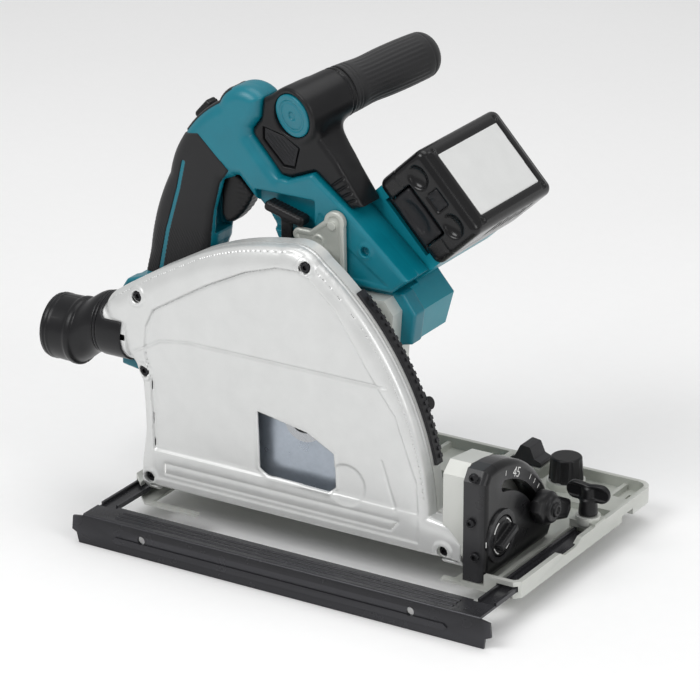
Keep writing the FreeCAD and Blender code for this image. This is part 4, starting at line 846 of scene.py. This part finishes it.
def wing_screw_field(p, at):
    x, y, z = p[0] - at, p[1] - CLAMP_Y, p[2]
    around = np.hypot(x, y)
    body = extrude(around - (7.4 - 0.12 * np.clip(z - 22, 0, 30)), z, 18.4, 31, 1.2)
    oval = np.hypot(np.maximum(np.abs(x) - 10.5, 0), (z - 36.5) * 1.05) - 7.6 + 1.1 * scored(x, 5.0)
    wing = extrude(oval, y, -2.8, 2.8, 2.0)
    hollow = np.hypot(np.maximum(np.abs(np.abs(x) - 10.5) - 3.0, 0), z - 36.5) - 4.2
    wing = carve(wing, extrude(hollow, np.abs(y), 1.7, 6, 0.6), 0.8)
    body = join(body, wing, 2.5)
    return join(body, extrude(around - 4.6, z, 28, 40, 2.0), 2.0)


def marks_field(p):
    """The printed figures and ticks of the bevel quadrant."""
    x, y, z = p
    line = np.full(np.broadcast(y, z).shape, 1e9, np.float32)
    for degrees in (40, 46, 52, 80):
        turn = math.radians(degrees)
        way = (math.cos(turn), math.sin(turn))
        tick = stroke(y, z, [(BEVEL_Y + r * way[0], r * way[1]) for r in (81.5, 85)])
        line = np.minimum(line, tick - 0.36)
    turn = math.radians(24)
    u = (y - 47) * math.cos(turn) - (z - 77.5) * math.sin(turn)
    w = (y - 47) * math.sin(turn) + (z - 77.5) * math.cos(turn)
    four = [[(-1.2, 3.2), (-4.4, -1.4), (0.2, -1.4)], [(-1.2, 3.2), (-1.2, -3.4)]]
    five = [[(5.2, 3.3), (2.2, 3.3), (1.9, 0.3), (4.2, 0.4), (5.4, -1.1), (4.2, -3.3), (1.8, -3.1)]]
    for strokes in four + five:
        line = np.minimum(line, stroke(u, w, strokes) - 0.48)
    line = np.minimum(line, outline(y, z, [(3.2, 33.0), (3.2, 38.0), (6.6, 35.5)]))
    return extrude(line, x, 140.6, 141.25, 0.12)


def dial_field(p):
    x, y, z = p
    around = np.hypot(y - DIAL_Y, z - DIAL_Z)
    turn = math.radians(20)
    u = (y - DIAL_Y) * math.cos(turn) + (z - DIAL_Z) * math.sin(turn)
    w = -(y - DIAL_Y) * math.sin(turn) + (z - DIAL_Z) * math.cos(turn)
    disc = extrude(around - 15.3, x, 137.2, 143, 0.8)
    disc = join(disc, extrude(around - 11.5, x, 142, 144, 0.6), 0.5)
    bar = block((x, u, w), (141, -12.8, -3.4), (150, 12.8, 3.4), 1.6)
    bar = bar + 0.3 * ripple(u * 2.2) * (np.abs(w) > 2.6)
    return join(disc, bar, 1.2)


def dial_marks_field(p):
    x, y, z = p
    around = np.hypot(y - DIAL_Y, z - DIAL_Z)
    angle = np.degrees(np.arctan2(z - DIAL_Z, y - DIAL_Y)) % 90
    arc = np.maximum(np.abs(around - 13.4) - 0.5, np.maximum(24 - angle, angle - 66) * 0.2)
    return extrude(arc, x, 142.6, 143.4, 0.1)


def fitting_pieces():
    moulded("bevel_lever_front_skin", lambda p: lever_field(p, (80, 38), 141.4, 1, 34, 20, -22),
            ((140, 48, 12), (161, 124, 64)), 0.6, "bevel_lever_front", BLACK,
            ("bevel_lever_front",), 0.5)
    moulded("bevel_lever_rear_skin", lambda p: lever_field(p, (75, 34), -170.8, -1, 30, 12, 20),
            ((-191, 56, 12), (-170, 114, 60)), 0.6, "bevel_lever_rear", BLACK,
            ("bevel_lever_rear",), 0.5)
    for name, at in (("front", 160), ("rear", -169)):
        node = "fence_clamp_" + name
        room = ((at - 22, 116, 17), (at + 22, 134, 46))
        moulded("wing_screw_" + name, lambda p: wing_screw_field(p, at), room, 0.5, node,
                BLACK, (node,), 0.5)
    moulded("quadrant_marks", marks_field, ((140.2, 0, 20), (142, 106, 92)), 0.28, "base", WHITE)
    moulded("stop_dial_skin", dial_field, ((136, 6, 18), (152, 42, 53)), 0.5, "stop_dial",
            BLACK, ("bevel_stop_dial",), 0.5)
    moulded("stop_dial_marks", dial_marks_field, ((142.2, 8, 19), (144, 40, 52)), 0.3, "stop_dial",
            WHITE)


# ------------------------------------------------------------ motor side

def shroud_field(p):
    """The moulded teal shell round the gearbox, between the case and the motor."""
    x, y, z = p
    flat = outline(x, z, [(-72, 191), (-74, 150), (-66, 110), (-50, 82), (-12, 80), (2, 96), (14, 128),
                          (31, 149), (44, 152), (47, 176), (36, 191)])
    shell = extrude(flat, y, 60, 76, 2.5)
    collar = extrude(np.hypot(x - MOTOR_X, z - MOTOR_Z) - 35.2, y, 66, 82, 1.6)
    return join(shell, collar, 3.0)


def motor_field(p):
    x, y, z = p
    dx, dz = x - MOTOR_X, z - MOTOR_Z
    around = np.hypot(dx, dz)
    turn = np.arctan2(dz, dx)
    can = extrude(around - 34, y, 75, 125, 7.0)
    can = can + 1.3 * ease(np.cos(turn * 12), 0.3, 0.7) * ease(y, 104, 106) * ease(116.5 - y, 0, 2)
    can = can + 1.6 * ease(np.cos(dx * 1.25), 0.2, 0.6) * (around < 22) * (y > 120)
    can = can + 0.5 * scored(y - 98, 0.6)
    room = extrude(around - 28.5, y, 70, 119, 0.5)
    return carve(can, room)


def motor_pieces():
    moulded("gear_shroud", shroud_field, ((-78, 58, 76), (50, 86, 194)), 1.1, "saw_head",
            TEAL, (), 0.4)
    moulded("motor_can_skin", motor_field, ((-67, 73, 78), (5, 127, 150)), 0.8, "saw_head",
            TEAL, ("motor_housing",), 0.4)


# ------------------------------------------------------------ stage, light, camera

EYE = (1396.4, -2242.6, 1216.3)
AZIMUTH, ELEVATION = math.radians(31.4), math.radians(21.8)
SENSOR, LENS = 36.0, 200.5714
FLOOR_GAP = 0.0003
FLOOR_SIZE = 14


def set_stage():
    low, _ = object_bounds()
    bpy.ops.mesh.primitive_plane_add(size=FLOOR_SIZE, location=(0, 0, low[2] - FLOOR_GAP))
    floor = bpy.context.object
    floor.name = "floor"
    floor.data.materials.append(material("floor_paint", srgb(244, 244, 244), srgb(250, 250, 250), 0.85,
                                         grain=90, bump=0.02, patch=3))


def area_light(name, where, target, size, power):
    data = bpy.data.lights.new(name, "AREA")
    data.shape = "RECTANGLE"
    data.size, data.size_y = size
    data.energy = power
    lamp = bpy.data.objects.new(name, data)
    lamp.location = where
    lamp.rotation_mode = "QUATERNION"
    lamp.rotation_quaternion = (Vector(target) - Vector(where)).to_track_quat("-Z", "Y")
    bpy.context.scene.collection.objects.link(lamp)


def set_lights():
    aim = (0, 0, 0.14)
    area_light("key", (-0.7, -1.9, 2.2), aim, (1.6, 1.2), 36)
    area_light("side", (2.2, -0.6, 1.4), aim, (1.0, 1.4), 14)
    area_light("top", (0.1, 0.5, 2.4), aim, (2.0, 1.6), 18)
    world = bpy.data.worlds.new("studio")
    bpy.context.scene.world = world
    world.use_nodes = True
    world.node_tree.nodes["Background"].inputs["Color"].default_value = (1, 1, 1, 1)
    world.node_tree.nodes["Background"].inputs["Strength"].default_value = 0.46


def set_camera():
    data = bpy.data.cameras.new("camera")
    data.sensor_width = SENSOR
    data.lens = LENS
    data.clip_start, data.clip_end = 0.1, 50
    camera = bpy.data.objects.new("camera", data)
    camera.location = place(*EYE)
    back = Vector((math.sin(AZIMUTH) * math.cos(ELEVATION), -math.cos(AZIMUTH) * math.cos(ELEVATION),
                   math.sin(ELEVATION)))
    camera.rotation_mode = "QUATERNION"
    camera.rotation_quaternion = (-back).to_track_quat("-Z", "Y")
    bpy.context.scene.collection.objects.link(camera)
    bpy.context.scene.camera = camera
    bpy.context.scene.view_settings.view_transform = "Standard"


# ------------------------------------------------------------ build

set_camera()
set_lights()
dress_cad_nodes()
case_pieces()
nozzle_pieces()
handle_pieces()
pack_pieces()
fitting_pieces()
motor_pieces()
set_stage()
